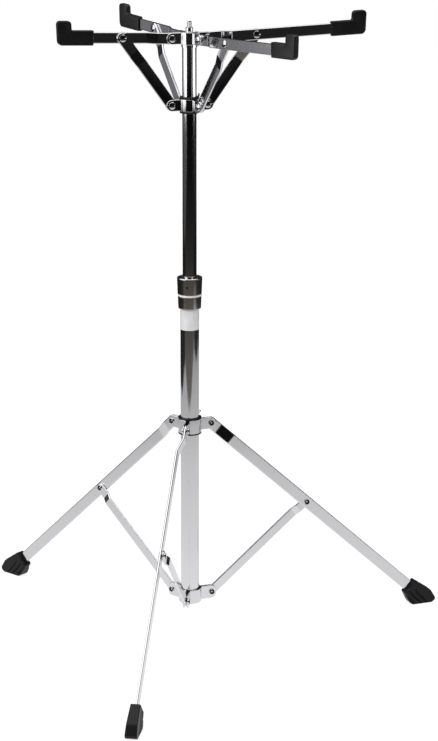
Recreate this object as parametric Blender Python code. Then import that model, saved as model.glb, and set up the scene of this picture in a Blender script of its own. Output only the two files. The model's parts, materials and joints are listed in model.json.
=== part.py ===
"""Folding percussion kit stand.

A flat-bar tripod folds on a sliding collar, a telescoping post is held by a
twist-lock clutch, and a four-arm basket folds on a runner below its head.
Units are metres, +Z is up, and the feet stand on Z = 0.
"""
import math

import bmesh
import bpy
from mathutils import Matrix, Vector

# Clearances
GAP = 0.0003            # between neighbouring pieces that touch on the real stand
SLIP = 0.0002           # side play of a strip between its ears, and under a rivet head
PIN_PLAY = 0.0003       # radial play of a rivet in its holes
FACE_PLAY = 0.0003      # between two strips that lie on each other

# Flat bars, sheet and rivets
STRIP = 0.003           # thickness of legs, struts, arms and braces
SHEET = 0.0016          # thickness of the pressed plates
RIVET_RADIUS = 0.0024
RIVET_HEAD_HEIGHT = 0.0015
LEG_HEAD_RADIUS = 0.0041
ARM_HEAD_RADIUS = 0.0049
BEND = 0.0024           # bend radius at the middle of the sheet

# Tripod
LEG_AZIMUTHS = {"front": -90.0, "right": 30.0, "left": 150.0}
LEG_SLOPE = math.radians(42.4)
LEG_WIDTH = 0.016
LEG_PIVOT_RADIUS = 0.0303
LEG_PIVOT_HEIGHT = 0.3059
LEG_TIP_HEIGHT = 0.0119
LEG_KNEE = 0.1929       # along the leg, from its pivot to the strut's rivet
STRUT_WIDTH = 0.0135
STRUT_PIVOT_RADIUS = 0.0313
STRUT_PIVOT_HEIGHT = 0.0568
LEG_JOG_START = 0.014
LEG_JOG_LENGTH = 0.024
STRUT_JOG_START = 0.0135    # measured back from the knee rivet
STRUT_JOG_LENGTH = 0.0115

# Foot boots
BOOT_GRIP = 0.034       # length of leg inside the boot
BOOT_WALL = 0.003
BOOT_MOUTH_HALF = 0.00665
BOOT_SOLE_HALF = 0.00885
BOOT_CROWN = 0.0165     # height of the boot's back above the leg's centre line
BOOT_NOSE = 0.007       # where the crown ends, past the leg's tip
BOOT_TOE = 0.0268       # toe corner ahead of the leg's tip
BOOT_TOE_HEIGHT = 0.0045
SOLE_FRONT = 0.0188
SOLE_REAR = 0.0142
HEEL_BACK = 0.0262
HEEL_HEIGHT = 0.012
BOOT_EDGE = 0.0016

# Collars of the tripod
COLLAR_HEIGHT = 0.020
LEG_EAR_HEIGHT = 0.0165
STRUT_EAR_HEIGHT = 0.019
EAR_REACH = 0.0072      # ear end past its rivet
BUSH_WALL = 0.001
LEG_BUSH_FLANGE = 0.0017
LEG_BUSH_FLANGE_RADIUS = 0.0163
CUP_INSET = 0.0008      # cup's rim below its plates' top
CUP_FLOOR = 0.0025

# Post
LOWER_TUBE_RADIUS = 0.0127
LOWER_TUBE_TOP = 0.498
UPPER_TUBE_RADIUS = 0.009525
TUBE_WALL = 0.0012
POST_OVERLAP = 0.1117   # length of upper tube inside the lower one, as photographed

# Twist-lock clutch
CLUTCH_GRIP = 0.028     # base's bottom below the lower tube's top
CLUTCH_BASE_HEIGHT = 0.0176
CLUTCH_BASE_FOOT_RADIUS = 0.0155
CLUTCH_BASE_RADIUS = 0.0161
CLUTCH_NECK_RADIUS = 0.0146
CLUTCH_NECK_HEIGHT = 0.016
CLUTCH_RING_HEIGHT = 0.0024
CLUTCH_RING_RADIUS = 0.0163
CLUTCH_NUT_FOOT_RADIUS = 0.0164
CLUTCH_NUT_RADIUS = 0.01725
CLUTCH_NUT_REACH = 0.020    # nut's top above the lower tube's top
CLUTCH_NUT_MOUTH = 0.0105
CLUTCH_NUT_RIM = 0.0132
CLUTCH_NUT_SHOULDER = 0.0045
CLUTCH_NUT_LIP = 0.0025
CLUTCH_DIMPLE_RADIUS = 0.0012
CLUTCH_DIMPLE_DEPTH = 0.0009
CLUTCH_DIMPLE_AZIMUTH = -88.0
COLLET_SKIRT = 0.020    # length inside the lower tube
COLLET_SLIT = 20.0      # degrees
GUIDE_HEIGHT = 0.022
GUIDE_LIP = 0.0012

# Basket
ARM_AZIMUTHS = {
    "right_rear": 25.1,
    "left_rear": 134.5,
    "left_front": 208.4,
    "right_front": 315.3,
}
LONG_ARMS = ("right_rear", "right_front")
ARM_WIDTH = 0.015
ARM_RISE = math.radians(2.29)
ARM_PIVOT_RADIUS = 0.0241
ARM_PIVOT_HEIGHT = 0.8373
ARM_KNEE = 0.06605      # along the arm, from its pivot to the brace's rivet
ARM_JOG_START = 0.018
ARM_JOG_LENGTH = 0.016
BRACE_PIVOT_RADIUS = 0.02465
BRACE_DROP = 0.0882     # braces' pivots below the arms' pivots
BRACE_WIDTH = 0.015
BRACE_JOG_START = 0.025     # measured back from the arm's rivet
BRACE_JOG_LENGTH = 0.016
BASKET_EAR_HEIGHT = 0.015
BASKET_EAR_REACH = 0.0075
BASKET_COLLAR_HEIGHT = 0.0165
RUNNER_BUSH_WALL = 0.0011
RUNNER_FLANGE = 0.0022
RUNNER_FLANGE_RADIUS = 0.013

# Arm boots
LONG_BOOT_START = 0.1928    # distance from the post's axis
SHORT_BOOT_START = 0.129
ARM_BOOT_LENGTH = 0.0478    # along its bottom
ARM_BOOT_LEAN = 0.0024      # how far the upright leans outward from bottom to top
ARM_BOOT_WALL = 0.0023
ARM_BOOT_POST = 0.0196      # radial thickness of the upright
ARM_BOOT_HEIGHT = 0.032
ARM_BOOT_CORNER = 0.0045
ARM_BOOT_HEEL = 0.006       # radius of the outer bottom corner
ARM_BOOT_EDGE = 0.0015
ARM_TAB_RISE = 0.0105       # upturned tab of the arm inside the boot
ARM_TAB_WIDTH = 0.0129

# Head cap with the pad stud
CAP_SKIRT = 0.00078
CAP_RISE = 0.0073       # cap's top above the arms' pivots
CAP_PLATE = 0.003
CAP_DEPTH = 0.019
STUD_SHOULDER_RADIUS = 0.0048
STUD_SHOULDER_HEIGHT = 0.0067
STUD_RADIUS = 0.003175
STUD_LENGTH = 0.0077
STUD_PITCH = 0.00127
STUD_THREAD_DEPTH = 0.0004
STUD_CHAMFER = 0.0008

# Wing screws
SCREW_RADIUS = 0.003
SCREW_PLAY = 0.0003
BOSS_RADIUS = 0.0052
BOSS_LENGTH = 0.005
HUB_RADIUS = 0.0046
HUB_LENGTH = 0.0075
WING_THICKNESS = 0.0024
WING_OVERHANG = 0.006       # wing tips past the hub's outer end
LEG_WING_SPAN = 0.0148
LEG_WING_LEAN = 38.0
RUNNER_WING_SPAN = 0.0115
RUNNER_WING_LEAN = 12.0

# Facets
ROUND = 32
RIVET_SIDES = 12
SCREW_SIDES = 16
END_STEPS = 4
BEND_STEPS = 3
JOG_STEPS = 4

# Finishes: colour, roughness, metallic
CHROME = ((0.80, 0.80, 0.82), 0.08, 1.0)
CLUTCH_CHROME = ((0.60, 0.585, 0.57), 0.12, 1.0)
STEEL = ((0.70, 0.70, 0.71), 0.25, 1.0)
BLACK_NYLON = ((0.02, 0.02, 0.02), 0.35, 0.0)
WHITE_NYLON = ((0.75, 0.74, 0.70), 0.5, 0.0)
RUBBER = ((0.022, 0.022, 0.024), 0.6, 0.0)

# Sizes that follow from the ones above
EAR_INSIDE = STRIP / 2 + SLIP
EAR_OUTSIDE = EAR_INSIDE + SHEET
HEAD_SEAT = EAR_OUTSIDE + SLIP
HEAD_END = HEAD_SEAT + RIVET_HEAD_HEIGHT
OUTER_PLANE = -(HEAD_END + FACE_PLAY + STRIP / 2)
INNER_PLANE = OUTER_PLANE + STRIP + FACE_PLAY

LEG_LENGTH = (LEG_PIVOT_HEIGHT - LEG_TIP_HEIGHT) / math.sin(LEG_SLOPE)
KNEE_RADIUS = LEG_PIVOT_RADIUS + LEG_KNEE * math.cos(LEG_SLOPE)
KNEE_HEIGHT = LEG_PIVOT_HEIGHT - LEG_KNEE * math.sin(LEG_SLOPE)
STRUT_RISE = math.atan2(KNEE_HEIGHT - STRUT_PIVOT_HEIGHT, KNEE_RADIUS - STRUT_PIVOT_RADIUS)
STRUT_LENGTH = math.hypot(KNEE_HEIGHT - STRUT_PIVOT_HEIGHT, KNEE_RADIUS - STRUT_PIVOT_RADIUS)

BRACE_PIVOT_HEIGHT = ARM_PIVOT_HEIGHT - BRACE_DROP
ELBOW_RADIUS = ARM_PIVOT_RADIUS + ARM_KNEE * math.cos(ARM_RISE)
ELBOW_HEIGHT = ARM_PIVOT_HEIGHT + ARM_KNEE * math.sin(ARM_RISE)
BRACE_RISE = math.atan2(ELBOW_HEIGHT - BRACE_PIVOT_HEIGHT, ELBOW_RADIUS - BRACE_PIVOT_RADIUS)
BRACE_LENGTH = math.hypot(ELBOW_HEIGHT - BRACE_PIVOT_HEIGHT, ELBOW_RADIUS - BRACE_PIVOT_RADIUS)

BUSH_BORE = LOWER_TUBE_RADIUS + GAP
BUSH_OUTSIDE = BUSH_BORE + BUSH_WALL
COLLAR_BORE = BUSH_OUTSIDE + GAP
POST_BORE = UPPER_TUBE_RADIUS + GAP
CAP_OUTSIDE = POST_BORE + CAP_SKIRT
HEAD_BORE = CAP_OUTSIDE + GAP
RUNNER_BUSH_OUTSIDE = POST_BORE + RUNNER_BUSH_WALL
RUNNER_BORE = RUNNER_BUSH_OUTSIDE + GAP
CUP_BOTTOM = STRUT_PIVOT_HEIGHT - COLLAR_HEIGHT / 2
LOWER_TUBE_BOTTOM = CUP_BOTTOM + CUP_FLOOR + GAP
CLUTCH_BASE_BOTTOM = LOWER_TUBE_TOP - CLUTCH_GRIP
CLUTCH_BASE_TOP = CLUTCH_BASE_BOTTOM + CLUTCH_BASE_HEIGHT
CLUTCH_NUT_TOP = LOWER_TUBE_TOP + CLUTCH_NUT_REACH
CAP_TOP = ARM_PIVOT_HEIGHT + CAP_RISE
STUD_SHOULDER_TOP = CAP_TOP + STUD_SHOULDER_HEIGHT
STUD_TOP = STUD_SHOULDER_TOP + STUD_LENGTH
UPPER_TUBE_TOP = CAP_TOP - CAP_PLATE - GAP
UPPER_TUBE_BOTTOM = LOWER_TUBE_TOP - POST_OVERLAP
TUBE_INSIDE = LOWER_TUBE_RADIUS - TUBE_WALL
ARM_BOOT_HALF = STRIP / 2 + ARM_BOOT_WALL


# Building blocks

def clear_scene():
    for old in list(bpy.data.objects):
        bpy.data.objects.remove(old, do_unlink=True)


def empty(name, parent=None, matrix=Matrix()):
    """An empty that carries pieces; matrix places it in its parent's frame."""
    holder = bpy.data.objects.new(name, None)
    holder.empty_display_size = 0.02
    bpy.context.collection.objects.link(holder)
    holder.parent = parent
    holder.matrix_local = matrix
    return holder


def radial_frame(azimuth, radius=0.0, height=0.0, pitch=0.0):
    """X points outward at an azimuth in degrees, Y anticlockwise; pitch dips X downward."""
    turn = Matrix.Rotation(math.radians(azimuth), 4, "Z")
    return turn @ Matrix.Translation((radius, 0.0, height)) @ Matrix.Rotation(pitch, 4, "Y")


def loft(sections, wrap=False):
    """Skin equal rings of points; wrap joins the last ring to the first, else the ends are capped."""
    shape = bmesh.new()
    rings = [[shape.verts.new(point) for point in section] for section in sections]
    count = len(rings[0])
    pairs = list(zip(rings, rings[1:]))
    if wrap:
        pairs.append((rings[-1], rings[0]))
    for first, second in pairs:
        for i in range(count):
            j = (i + 1) % count
            shape.faces.new((first[i], first[j], second[j], second[i]))
    if not wrap:
        shape.faces.new(rings[0][::-1])
        shape.faces.new(rings[-1])
    bmesh.ops.remove_doubles(shape, verts=shape.verts, dist=1e-7)
    bmesh.ops.dissolve_degenerate(shape, edges=shape.edges, dist=1e-7)
    bmesh.ops.recalc_face_normals(shape, faces=shape.faces)
    return shape


def turned(profile, sides=ROUND, sweep=360.0, start=0.0):
    """Turn a closed (radius, height) profile about Z."""
    full = sweep >= 360.0
    steps = sides if full else max(3, round(sides * sweep / 360.0))
    sections = []
    for i in range(steps if full else steps + 1):
        angle = math.radians(start + sweep * i / steps)
        sections.append([(r * math.cos(angle), r * math.sin(angle), z) for r, z in profile])
    return loft(sections, wrap=full)


def place(name, shape, finish, parent, matrix=Matrix(), smooth=True):
    """Turn a shape into a named object in its parent's frame, with its own material."""
    mesh = bpy.data.meshes.new(name)
    shape.to_mesh(mesh)
    shape.free()
    if smooth:
        mesh.shade_smooth()
        mesh.set_sharp_from_angle(angle=math.radians(32.0))
    piece = bpy.data.objects.new(name, mesh)
    bpy.context.collection.objects.link(piece)
    piece.parent = parent
    piece.matrix_local = matrix
    colour, roughness, metallic = finish
    material = bpy.data.materials.new(name + "_finish")
    material.use_nodes = True
    shader = material.node_tree.nodes["Principled BSDF"]
    shader.inputs["Base Color"].default_value = (*colour, 1.0)
    shader.inputs["Roughness"].default_value = roughness
    shader.inputs["Metallic"].default_value = metallic
    mesh.materials.append(material)
    return piece


def tool(name, shape, parent, matrix=Matrix()):
    """A hidden shape that cuts, or is joined to, a piece."""
    cutter = place(name, shape, STEEL, parent, matrix, smooth=False)
    cutter.hide_render = True
    cutter.display_type = "WIRE"
    return cutter


def combine(piece, other, operation):
    step = piece.modifiers.new(operation.lower() + "_" + other.name, "BOOLEAN")
    step.operation = operation
    step.solver = "EXACT"
    step.object = other
    return step


def soften(piece, width, segments=2):
    step = piece.modifiers.new("edges", "BEVEL")
    step.width = width
    step.segments = segments
    step.limit_method = "ANGLE"
    step.angle_limit = math.radians(40.0)
    return step


def rounded_outline(corners, steps=4):
    """Replace each (x, y, radius) corner of a polygon by an arc."""
    outline = []
    count = len(corners)
    for i, (x, y, radius) in enumerate(corners):
        here = Vector((x, y))
        before = (Vector(corners[i - 1][:2]) - here).normalized()
        after = (Vector(corners[(i + 1) % count][:2]) - here).normalized()
        half = before.angle(after) / 2
        centre = here + (before + after).normalized() * radius / math.sin(half)
        run = radius / math.tan(half)
        first = here + before * run - centre
        last = here + after * run - centre
        angle = first.angle_signed(last)
        for k in range(steps + 1):
            spoke = Matrix.Rotation(-angle * k / steps, 2) @ first
            outline.append(centre + spoke)
    return outline


def disc_outline(radius, sides):
    return [
        (radius * math.cos(2 * math.pi * i / sides), radius * math.sin(2 * math.pi * i / sides))
        for i in range(sides)
    ]


def prism(outline, low, high):
    """Extrude an (x, z) outline along Y."""
    return loft([[(x, low, z) for x, z in outline], [(x, high, z) for x, z in outline]])


def round_bar(radius, low, high, sides=RIVET_SIDES):
    """A plain round bar along Y."""
    return prism(disc_outline(radius, sides), low, high)


# Strips

def smooth_step(value):
    value = min(1.0, max(0.0, value))
    return value * value * (3.0 - 2.0 * value)


def strip_shape(width, thickness, length, jog, ends):
    """A flat bar along X, its width along Z and its thickness along Y.

    jog is (start, length, offset before, offset after); ends are (round start, round end).
    """
    jog_start, jog_length, before, after = jog
    half = width / 2
    stations = []
    if ends[0]:
        for i in range(1, END_STEPS):
            angle = 0.5 * math.pi * i / END_STEPS
            stations.append((-half * math.cos(angle), half * math.sin(angle)))
    stations.append((0.0, half))
    for i in range(JOG_STEPS + 1):
        stations.append((jog_start + jog_length * i / JOG_STEPS, half))
    stations.append((length, half))
    if ends[1]:
        for i in range(END_STEPS - 1, 0, -1):
            angle = 0.5 * math.pi * i / END_STEPS
            stations.append((length + half * math.cos(angle), half * math.sin(angle)))
    sections = []
    for along, reach in stations:
        side = before + (after - before) * smooth_step((along - jog_start) / jog_length)
        low, high = side - thickness / 2, side + thickness / 2
        sections.append([
            (along, low, -reach), (along, high, -reach), (along, high, reach), (along, low, reach),
        ])
    return loft(sections)


def arm_end_outline(length, tab_width, half, rise, slack=0.0):
    """Outline of the straight outer part of an arm with its upturned tab, which leans outward."""
    tab = length - tab_width
    top = half + rise + slack
    lean = ARM_BOOT_LEAN / ARM_BOOT_HEIGHT
    return [
        (tab - 0.020, -half - slack),
        (length + slack, -half - slack),
        (length + slack + lean * (top + half), top),
        (tab - slack + lean * (top - half), top),
        (tab - slack, half + slack),
        (tab - 0.020, half + slack),
    ]


def dome_profile(radius, base, height, rings=2):
    """Profile points of a domed head, from its rim to its crown."""
    points = []
    for i in range(rings + 1):
        angle = 0.5 * math.pi * i / rings
        points.append((radius * math.cos(angle), base + height * math.sin(angle)))
    return points


def rivet_shape(head_radius):
    """A two-headed rivet along Z, centred on the strip between the ears."""
    upper = dome_profile(head_radius, HEAD_SEAT, RIVET_HEAD_HEIGHT)
    lower = [(r, -z) for r, z in reversed(upper)]
    profile = lower + [(head_radius, -HEAD_SEAT), (RIVET_RADIUS, -HEAD_SEAT)]
    profile += [(RIVET_RADIUS, HEAD_SEAT), (head_radius, HEAD_SEAT)] + upper
    return turned(profile, RIVET_SIDES)


def head_shape(head_radius):
    """A formed rivet head along Z that sinks into its strip, with a thin straight rim."""
    rim = dome_profile(head_radius, SLIP, RIVET_HEAD_HEIGHT - SLIP)
    return turned([(0.0, -STRIP * 0.2), (head_radius, -STRIP * 0.2)] + rim, RIVET_SIDES)


# Turns a boss's facets off the seams of its plate
BOSS_TWIST = Matrix.Rotation(math.radians(4.0), 4, "Z")

# Turns Z onto Y, for pieces that lie along a pivot
ALONG_Y = Matrix.Rotation(math.radians(-90.0), 4, "X")


def add_head(piece, name, parent, along, plane, facing, radius):
    """Form the knee rivet's head on a strip centred on Y = plane; facing is 1 for +Y, -1 for -Y."""
    turn = ALONG_Y if facing > 0 else ALONG_Y.inverted()
    matrix = Matrix.Translation((along, plane + facing * STRIP / 2, 0.0)) @ turn
    combine(piece, tool(name, head_shape(radius), parent, matrix), "UNION")


# Pressed plates

def plate_path(first, last, bore, pivot, reach, ear_height, height):
    """Plan of one plate from the ear at azimuth first to the ear at azimuth last.

    Gives (point, normal, half height) stations; the normal points away from the post.
    """
    middle = bore + SHEET / 2
    side = EAR_INSIDE + SHEET / 2
    corner_side = side + BEND
    corner_radius = math.sqrt((middle + BEND) ** 2 - corner_side ** 2)
    corner_angle = math.atan2(corner_side, corner_radius)
    half_ear, half = ear_height / 2, height / 2

    def ear(azimuth, hand):
        out = Vector((math.cos(azimuth), math.sin(azimuth)))
        across = Vector((-math.sin(azimuth), math.cos(azimuth))) * hand
        corner = out * corner_radius + across * corner_side
        stations = []
        for i in range(1, END_STEPS + 1):
            angle = 0.5 * math.pi * i / END_STEPS
            radius = pivot + reach * math.cos(angle)
            stations.append((out * radius + across * side, across, half_ear * math.sin(angle)))
        stations.append((out * corner_radius + across * side, across, half_ear))
        sweep = 0.5 * math.pi - corner_angle
        for i in range(1, BEND_STEPS + 1):
            share = i / BEND_STEPS
            angle = sweep * share
            spoke = -across * math.cos(angle) - out * math.sin(angle)
            level = half_ear + (half - half_ear) * share
            stations.append((corner + spoke * BEND, -spoke, level))
        return stations

    start = ear(first, 1.0)
    finish = ear(last, -1.0)
    arc_first, arc_last = first + corner_angle, last - corner_angle
    steps = max(2, math.ceil(math.degrees(arc_last - arc_first) * ROUND / 360.0))
    barrel = []
    for i in range(1, steps):
        angle = arc_first + (arc_last - arc_first) * i / steps
        out = Vector((math.cos(angle), math.sin(angle)))
        barrel.append((out * middle, out, half))
    return start + barrel + finish[::-1]


def plate_shape(first, last, bore, pivot, reach, ear_height, height):
    first, last = math.radians(first), math.radians(last)
    sections = []
    for point, normal, half in plate_path(first, last, bore, pivot, reach, ear_height, height):
        inner = point - normal * SHEET / 2
        outer = point + normal * SHEET / 2
        sections.append([
            (inner.x, inner.y, -half), (outer.x, outer.y, -half),
            (outer.x, outer.y, half), (inner.x, inner.y, half),
        ])
    return loft(sections)


def neighbours(azimuths):
    """Pairs of neighbouring azimuths round the post, each with its names."""
    names = list(azimuths)
    pairs = []
    for i, name in enumerate(names):
        after = names[(i + 1) % len(names)]
        first, last = azimuths[name], azimuths[after]
        if last < first:
            last += 360.0
        pairs.append((name, after, first, last))
    return pairs


def add_collar(prefix, names, azimuths, parent, bore, pivot, reach, ear_height, height, holes):
    """Plates of one collar round the post, drilled where their azimuth has a cutter."""
    plates = {}
    for name, (before, after, first, last) in zip(names, neighbours(azimuths)):
        shape = plate_shape(first, last, bore, pivot, reach, ear_height, height)
        plate = place(prefix + name, shape, CHROME, parent)
        for side in (("start", before), ("end", after)):
            if side in holes:
                combine(plate, holes[side], "DIFFERENCE")
        plates[name] = plate
    return plates


def both_ends(cutters):
    return {(end, name): cutter for name, cutter in cutters.items() for end in ("start", "end")}


def flanged_bush(bore, outside, flange_radius, flange, height):
    """A bush on the post with flanges above and below its plates, centred on Z = 0."""
    low, high = -height / 2 - GAP, height / 2 + GAP
    return turned([
        (bore, low - flange), (flange_radius, low - flange), (flange_radius, low), (outside, low),
        (outside, high), (flange_radius, high), (flange_radius, high + flange), (bore, high + flange),
    ])


def end_cup(bore, outside, height, floor):
    """A plain sleeve with a floor, which closes the post's bottom, centred on Z = 0."""
    low, high = -height / 2, height / 2 - CUP_INSET
    return turned([
        (0.0, low), (outside, low), (outside, high), (bore, high), (bore, low + floor), (0.0, low + floor),
    ])


# Wing screws

def wing_outline(span):
    """Butterfly outline seen along the screw, centred on its axis: (across, outward)."""
    hub, tip = HUB_RADIUS * 0.7, HUB_LENGTH + WING_OVERHANG
    return [
        (-hub, 0.0015), (hub, 0.0015), (span * 0.72, HUB_LENGTH * 0.55), (span, HUB_LENGTH * 1.05),
        (span * 0.97, tip * 0.95), (span * 0.80, tip), (span * 0.55, HUB_LENGTH * 1.15),
        (hub, HUB_LENGTH * 0.9), (-hub, HUB_LENGTH * 0.9), (-span * 0.55, HUB_LENGTH * 1.15),
        (-span * 0.80, tip), (-span * 0.97, tip * 0.95), (-span, HUB_LENGTH * 1.05),
        (-span * 0.72, HUB_LENGTH * 0.55),
    ]


def add_wing_screw(name, parent, azimuth, height, tube_radius, plate_outside, span, lean):
    """A wing screw that presses on the tube from outside; its origin lies on its own axis."""
    start = tube_radius + GAP
    hub = plate_outside + BOSS_LENGTH + GAP
    carrier = empty(name + "_axis", parent, radial_frame(azimuth, hub, height))
    outward = Matrix.Rotation(math.radians(90.0), 4, "Y")
    profile = [
        (0.0, start - hub), (SCREW_RADIUS * 0.7, start - hub), (SCREW_RADIUS, start - hub + 0.001),
        (SCREW_RADIUS, 0.0), (HUB_RADIUS, 0.0), (HUB_RADIUS, HUB_LENGTH * 0.8),
        (HUB_RADIUS * 0.75, HUB_LENGTH), (0.0, HUB_LENGTH),
    ]
    screw = place(name, turned(profile, SCREW_SIDES), CHROME, carrier, outward)
    wings = prism(wing_outline(span), -WING_THICKNESS / 2, WING_THICKNESS / 2)
    turn = outward @ Matrix.Rotation(math.radians(lean), 4, "Z")
    combine(screw, tool(name + "_wings", wings, carrier, turn), "UNION")
    return screw


def add_boss(plate, name, parent, azimuth, plate_outside):
    """A threaded boss on the middle of a plate."""
    outward = Matrix.Rotation(math.radians(90.0), 4, "Y")
    frame = radial_frame(azimuth) @ outward @ BOSS_TWIST
    start, end = plate_outside - SHEET * 0.8, plate_outside + BOSS_LENGTH
    boss = turned([(0.0, start), (BOSS_RADIUS, start), (BOSS_RADIUS, end), (0.0, end)], SCREW_SIDES)
    combine(plate, tool(name + "_boss", boss, parent, frame), "UNION")


def screw_hole(name, parent, azimuth, reach):
    """A radial cutter from the post's axis outward, for a wing screw."""
    outward = Matrix.Rotation(math.radians(90.0), 4, "Y")
    radius = SCREW_RADIUS + SCREW_PLAY
    shape = turned([(0.0, 0.002), (radius, 0.002), (radius, reach), (0.0, reach)], SCREW_SIDES)
    return tool(name, shape, parent, radial_frame(azimuth) @ outward @ BOSS_TWIST)


# Sub-assemblies

def pin_holes(prefix, azimuths, parent, pivot):
    """One cutter for each pivot, through both ears and the strip between them."""
    radius = RIVET_RADIUS + PIN_PLAY
    holes = {}
    for name, azimuth in azimuths.items():
        shape = round_bar(radius, -EAR_OUTSIDE - 0.001, EAR_OUTSIDE + 0.001)
        holes[name] = tool(prefix + name + "_hole", shape, parent, radial_frame(azimuth, pivot))
    return holes


def foot_boot_corners():
    """Corners of a foot boot's side, from the leg's tip along the floor: (outward, height, radius)."""
    along = Vector((math.cos(LEG_SLOPE), -math.sin(LEG_SLOPE)))
    upward = Vector((math.sin(LEG_SLOPE), math.cos(LEG_SLOPE)))
    tip = Vector((0.0, LEG_TIP_HEIGHT))
    mouth = LEG_WIDTH / 2 + BOOT_WALL
    lower = tip - along * BOOT_GRIP - upward * mouth
    upper = tip - along * BOOT_GRIP + upward * mouth
    crown = tip + along * BOOT_NOSE + upward * BOOT_CROWN
    return [
        (lower.x, lower.y, 0.0012), (upper.x, upper.y, 0.0015), (crown.x, crown.y, 0.012),
        (BOOT_TOE, BOOT_TOE_HEIGHT, 0.004), (SOLE_FRONT, 0.0, 0.004),
        (-SOLE_REAR, 0.0, 0.003), (-HEEL_BACK, HEEL_HEIGHT, 0.006),
    ]


def add_foot_boot(name, parent):
    """A rubber boot with a flat sole on the floor; parent is the leg's frame at its tip."""
    outline = rounded_outline(foot_boot_corners(), 3)
    rows = []
    for hand in (-1.0, 1.0):
        row = []
        for x, z in outline:
            share = min(1.0, max(0.0, z / 0.040))
            half = BOOT_SOLE_HALF + (BOOT_MOUTH_HALF - BOOT_SOLE_HALF) * share
            row.append((x, OUTER_PLANE + hand * half, z))
        rows.append(row)
    upright = Matrix.Rotation(-LEG_SLOPE, 4, "Y") @ Matrix.Translation((0.0, 0.0, -LEG_TIP_HEIGHT))
    boot = place("foot_boot_" + name, loft(rows), RUBBER, parent, upright)
    soften(boot, BOOT_EDGE)
    half = LEG_WIDTH / 2 + GAP
    pocket = [(-BOOT_GRIP - 0.010, -half), (GAP, -half), (GAP, half), (-BOOT_GRIP - 0.010, half)]
    low, high = OUTER_PLANE - STRIP / 2 - GAP, OUTER_PLANE + STRIP / 2 + GAP
    combine(boot, tool("foot_boot_" + name + "_pocket", prism(pocket, low, high), parent), "DIFFERENCE")


def build_tripod(stand):
    """Lower tube, both collars, legs and struts."""
    cup = empty("strut_collar", stand, Matrix.Translation((0.0, 0.0, STRUT_PIVOT_HEIGHT)))
    collar = empty("leg_collar", stand, Matrix.Translation((0.0, 0.0, LEG_PIVOT_HEIGHT)))
    names = ("right", "rear", "left")
    outside = COLLAR_BORE + SHEET

    tube = [
        (TUBE_INSIDE, LOWER_TUBE_BOTTOM), (LOWER_TUBE_RADIUS, LOWER_TUBE_BOTTOM),
        (LOWER_TUBE_RADIUS, LOWER_TUBE_TOP), (TUBE_INSIDE, LOWER_TUBE_TOP),
    ]
    place("lower_tube", turned(tube), CHROME, stand)

    shape = end_cup(BUSH_BORE, BUSH_OUTSIDE, COLLAR_HEIGHT, CUP_FLOOR)
    place("tube_end_cup", shape, BLACK_NYLON, cup)
    strut_holes = pin_holes("strut_", LEG_AZIMUTHS, cup, STRUT_PIVOT_RADIUS)
    add_collar(
        "strut_collar_plate_", names, LEG_AZIMUTHS, cup, COLLAR_BORE,
        STRUT_PIVOT_RADIUS, EAR_REACH, STRUT_EAR_HEIGHT, COLLAR_HEIGHT, both_ends(strut_holes),
    )

    bush = flanged_bush(
        BUSH_BORE, BUSH_OUTSIDE, LEG_BUSH_FLANGE_RADIUS, LEG_BUSH_FLANGE, COLLAR_HEIGHT
    )
    bush = place("leg_collar_bush", bush, BLACK_NYLON, collar)
    leg_holes = pin_holes("leg_", LEG_AZIMUTHS, collar, LEG_PIVOT_RADIUS)
    plates = add_collar(
        "leg_collar_plate_", names, LEG_AZIMUTHS, collar, COLLAR_BORE,
        LEG_PIVOT_RADIUS, EAR_REACH, LEG_EAR_HEIGHT, COLLAR_HEIGHT, both_ends(leg_holes),
    )
    back = (LEG_AZIMUTHS["right"] + LEG_AZIMUTHS["left"]) / 2
    add_boss(plates["rear"], "leg_collar", collar, back, outside)
    hole = screw_hole("leg_screw_hole", collar, back, outside + BOSS_LENGTH + 0.002)
    combine(plates["rear"], hole, "DIFFERENCE")
    combine(bush, hole, "DIFFERENCE")
    add_wing_screw(
        "leg_collar_wing_screw", collar, back, 0.0, LOWER_TUBE_RADIUS, outside,
        LEG_WING_SPAN, LEG_WING_LEAN,
    )

    for name, azimuth in LEG_AZIMUTHS.items():
        pivot = empty(
            "leg_" + name + "_pivot", collar, radial_frame(azimuth, LEG_PIVOT_RADIUS, 0.0, LEG_SLOPE)
        )
        shape = strip_shape(
            LEG_WIDTH, STRIP, LEG_LENGTH,
            (LEG_JOG_START, LEG_JOG_LENGTH, 0.0, OUTER_PLANE), (True, False),
        )
        leg = place("leg_" + name, shape, CHROME, pivot)
        combine(leg, leg_holes[name], "DIFFERENCE")
        add_head(leg, "leg_" + name + "_knee", pivot, LEG_KNEE, OUTER_PLANE, -1, LEG_HEAD_RADIUS)
        place("leg_rivet_" + name, rivet_shape(LEG_HEAD_RADIUS), CHROME, collar,
              radial_frame(azimuth, LEG_PIVOT_RADIUS) @ ALONG_Y)
        tip = empty("leg_" + name + "_tip", pivot, Matrix.Translation((LEG_LENGTH, 0.0, 0.0)))
        add_foot_boot(name, tip)

        pivot = empty(
            "strut_" + name + "_pivot", cup,
            radial_frame(azimuth, STRUT_PIVOT_RADIUS, 0.0, -STRUT_RISE),
        )
        start = STRUT_LENGTH - STRUT_JOG_START - STRUT_JOG_LENGTH
        shape = strip_shape(
            STRUT_WIDTH, STRIP, STRUT_LENGTH,
            (start, STRUT_JOG_LENGTH, 0.0, INNER_PLANE), (True, True),
        )
        strut = place("strut_" + name, shape, CHROME, pivot)
        combine(strut, strut_holes[name], "DIFFERENCE")
        add_head(
            strut, "strut_" + name + "_knee", pivot, STRUT_LENGTH, INNER_PLANE, 1, LEG_HEAD_RADIUS
        )
        place("strut_rivet_" + name, rivet_shape(LEG_HEAD_RADIUS), CHROME, cup,
              radial_frame(azimuth, STRUT_PIVOT_RADIUS) @ ALONG_Y)


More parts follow.
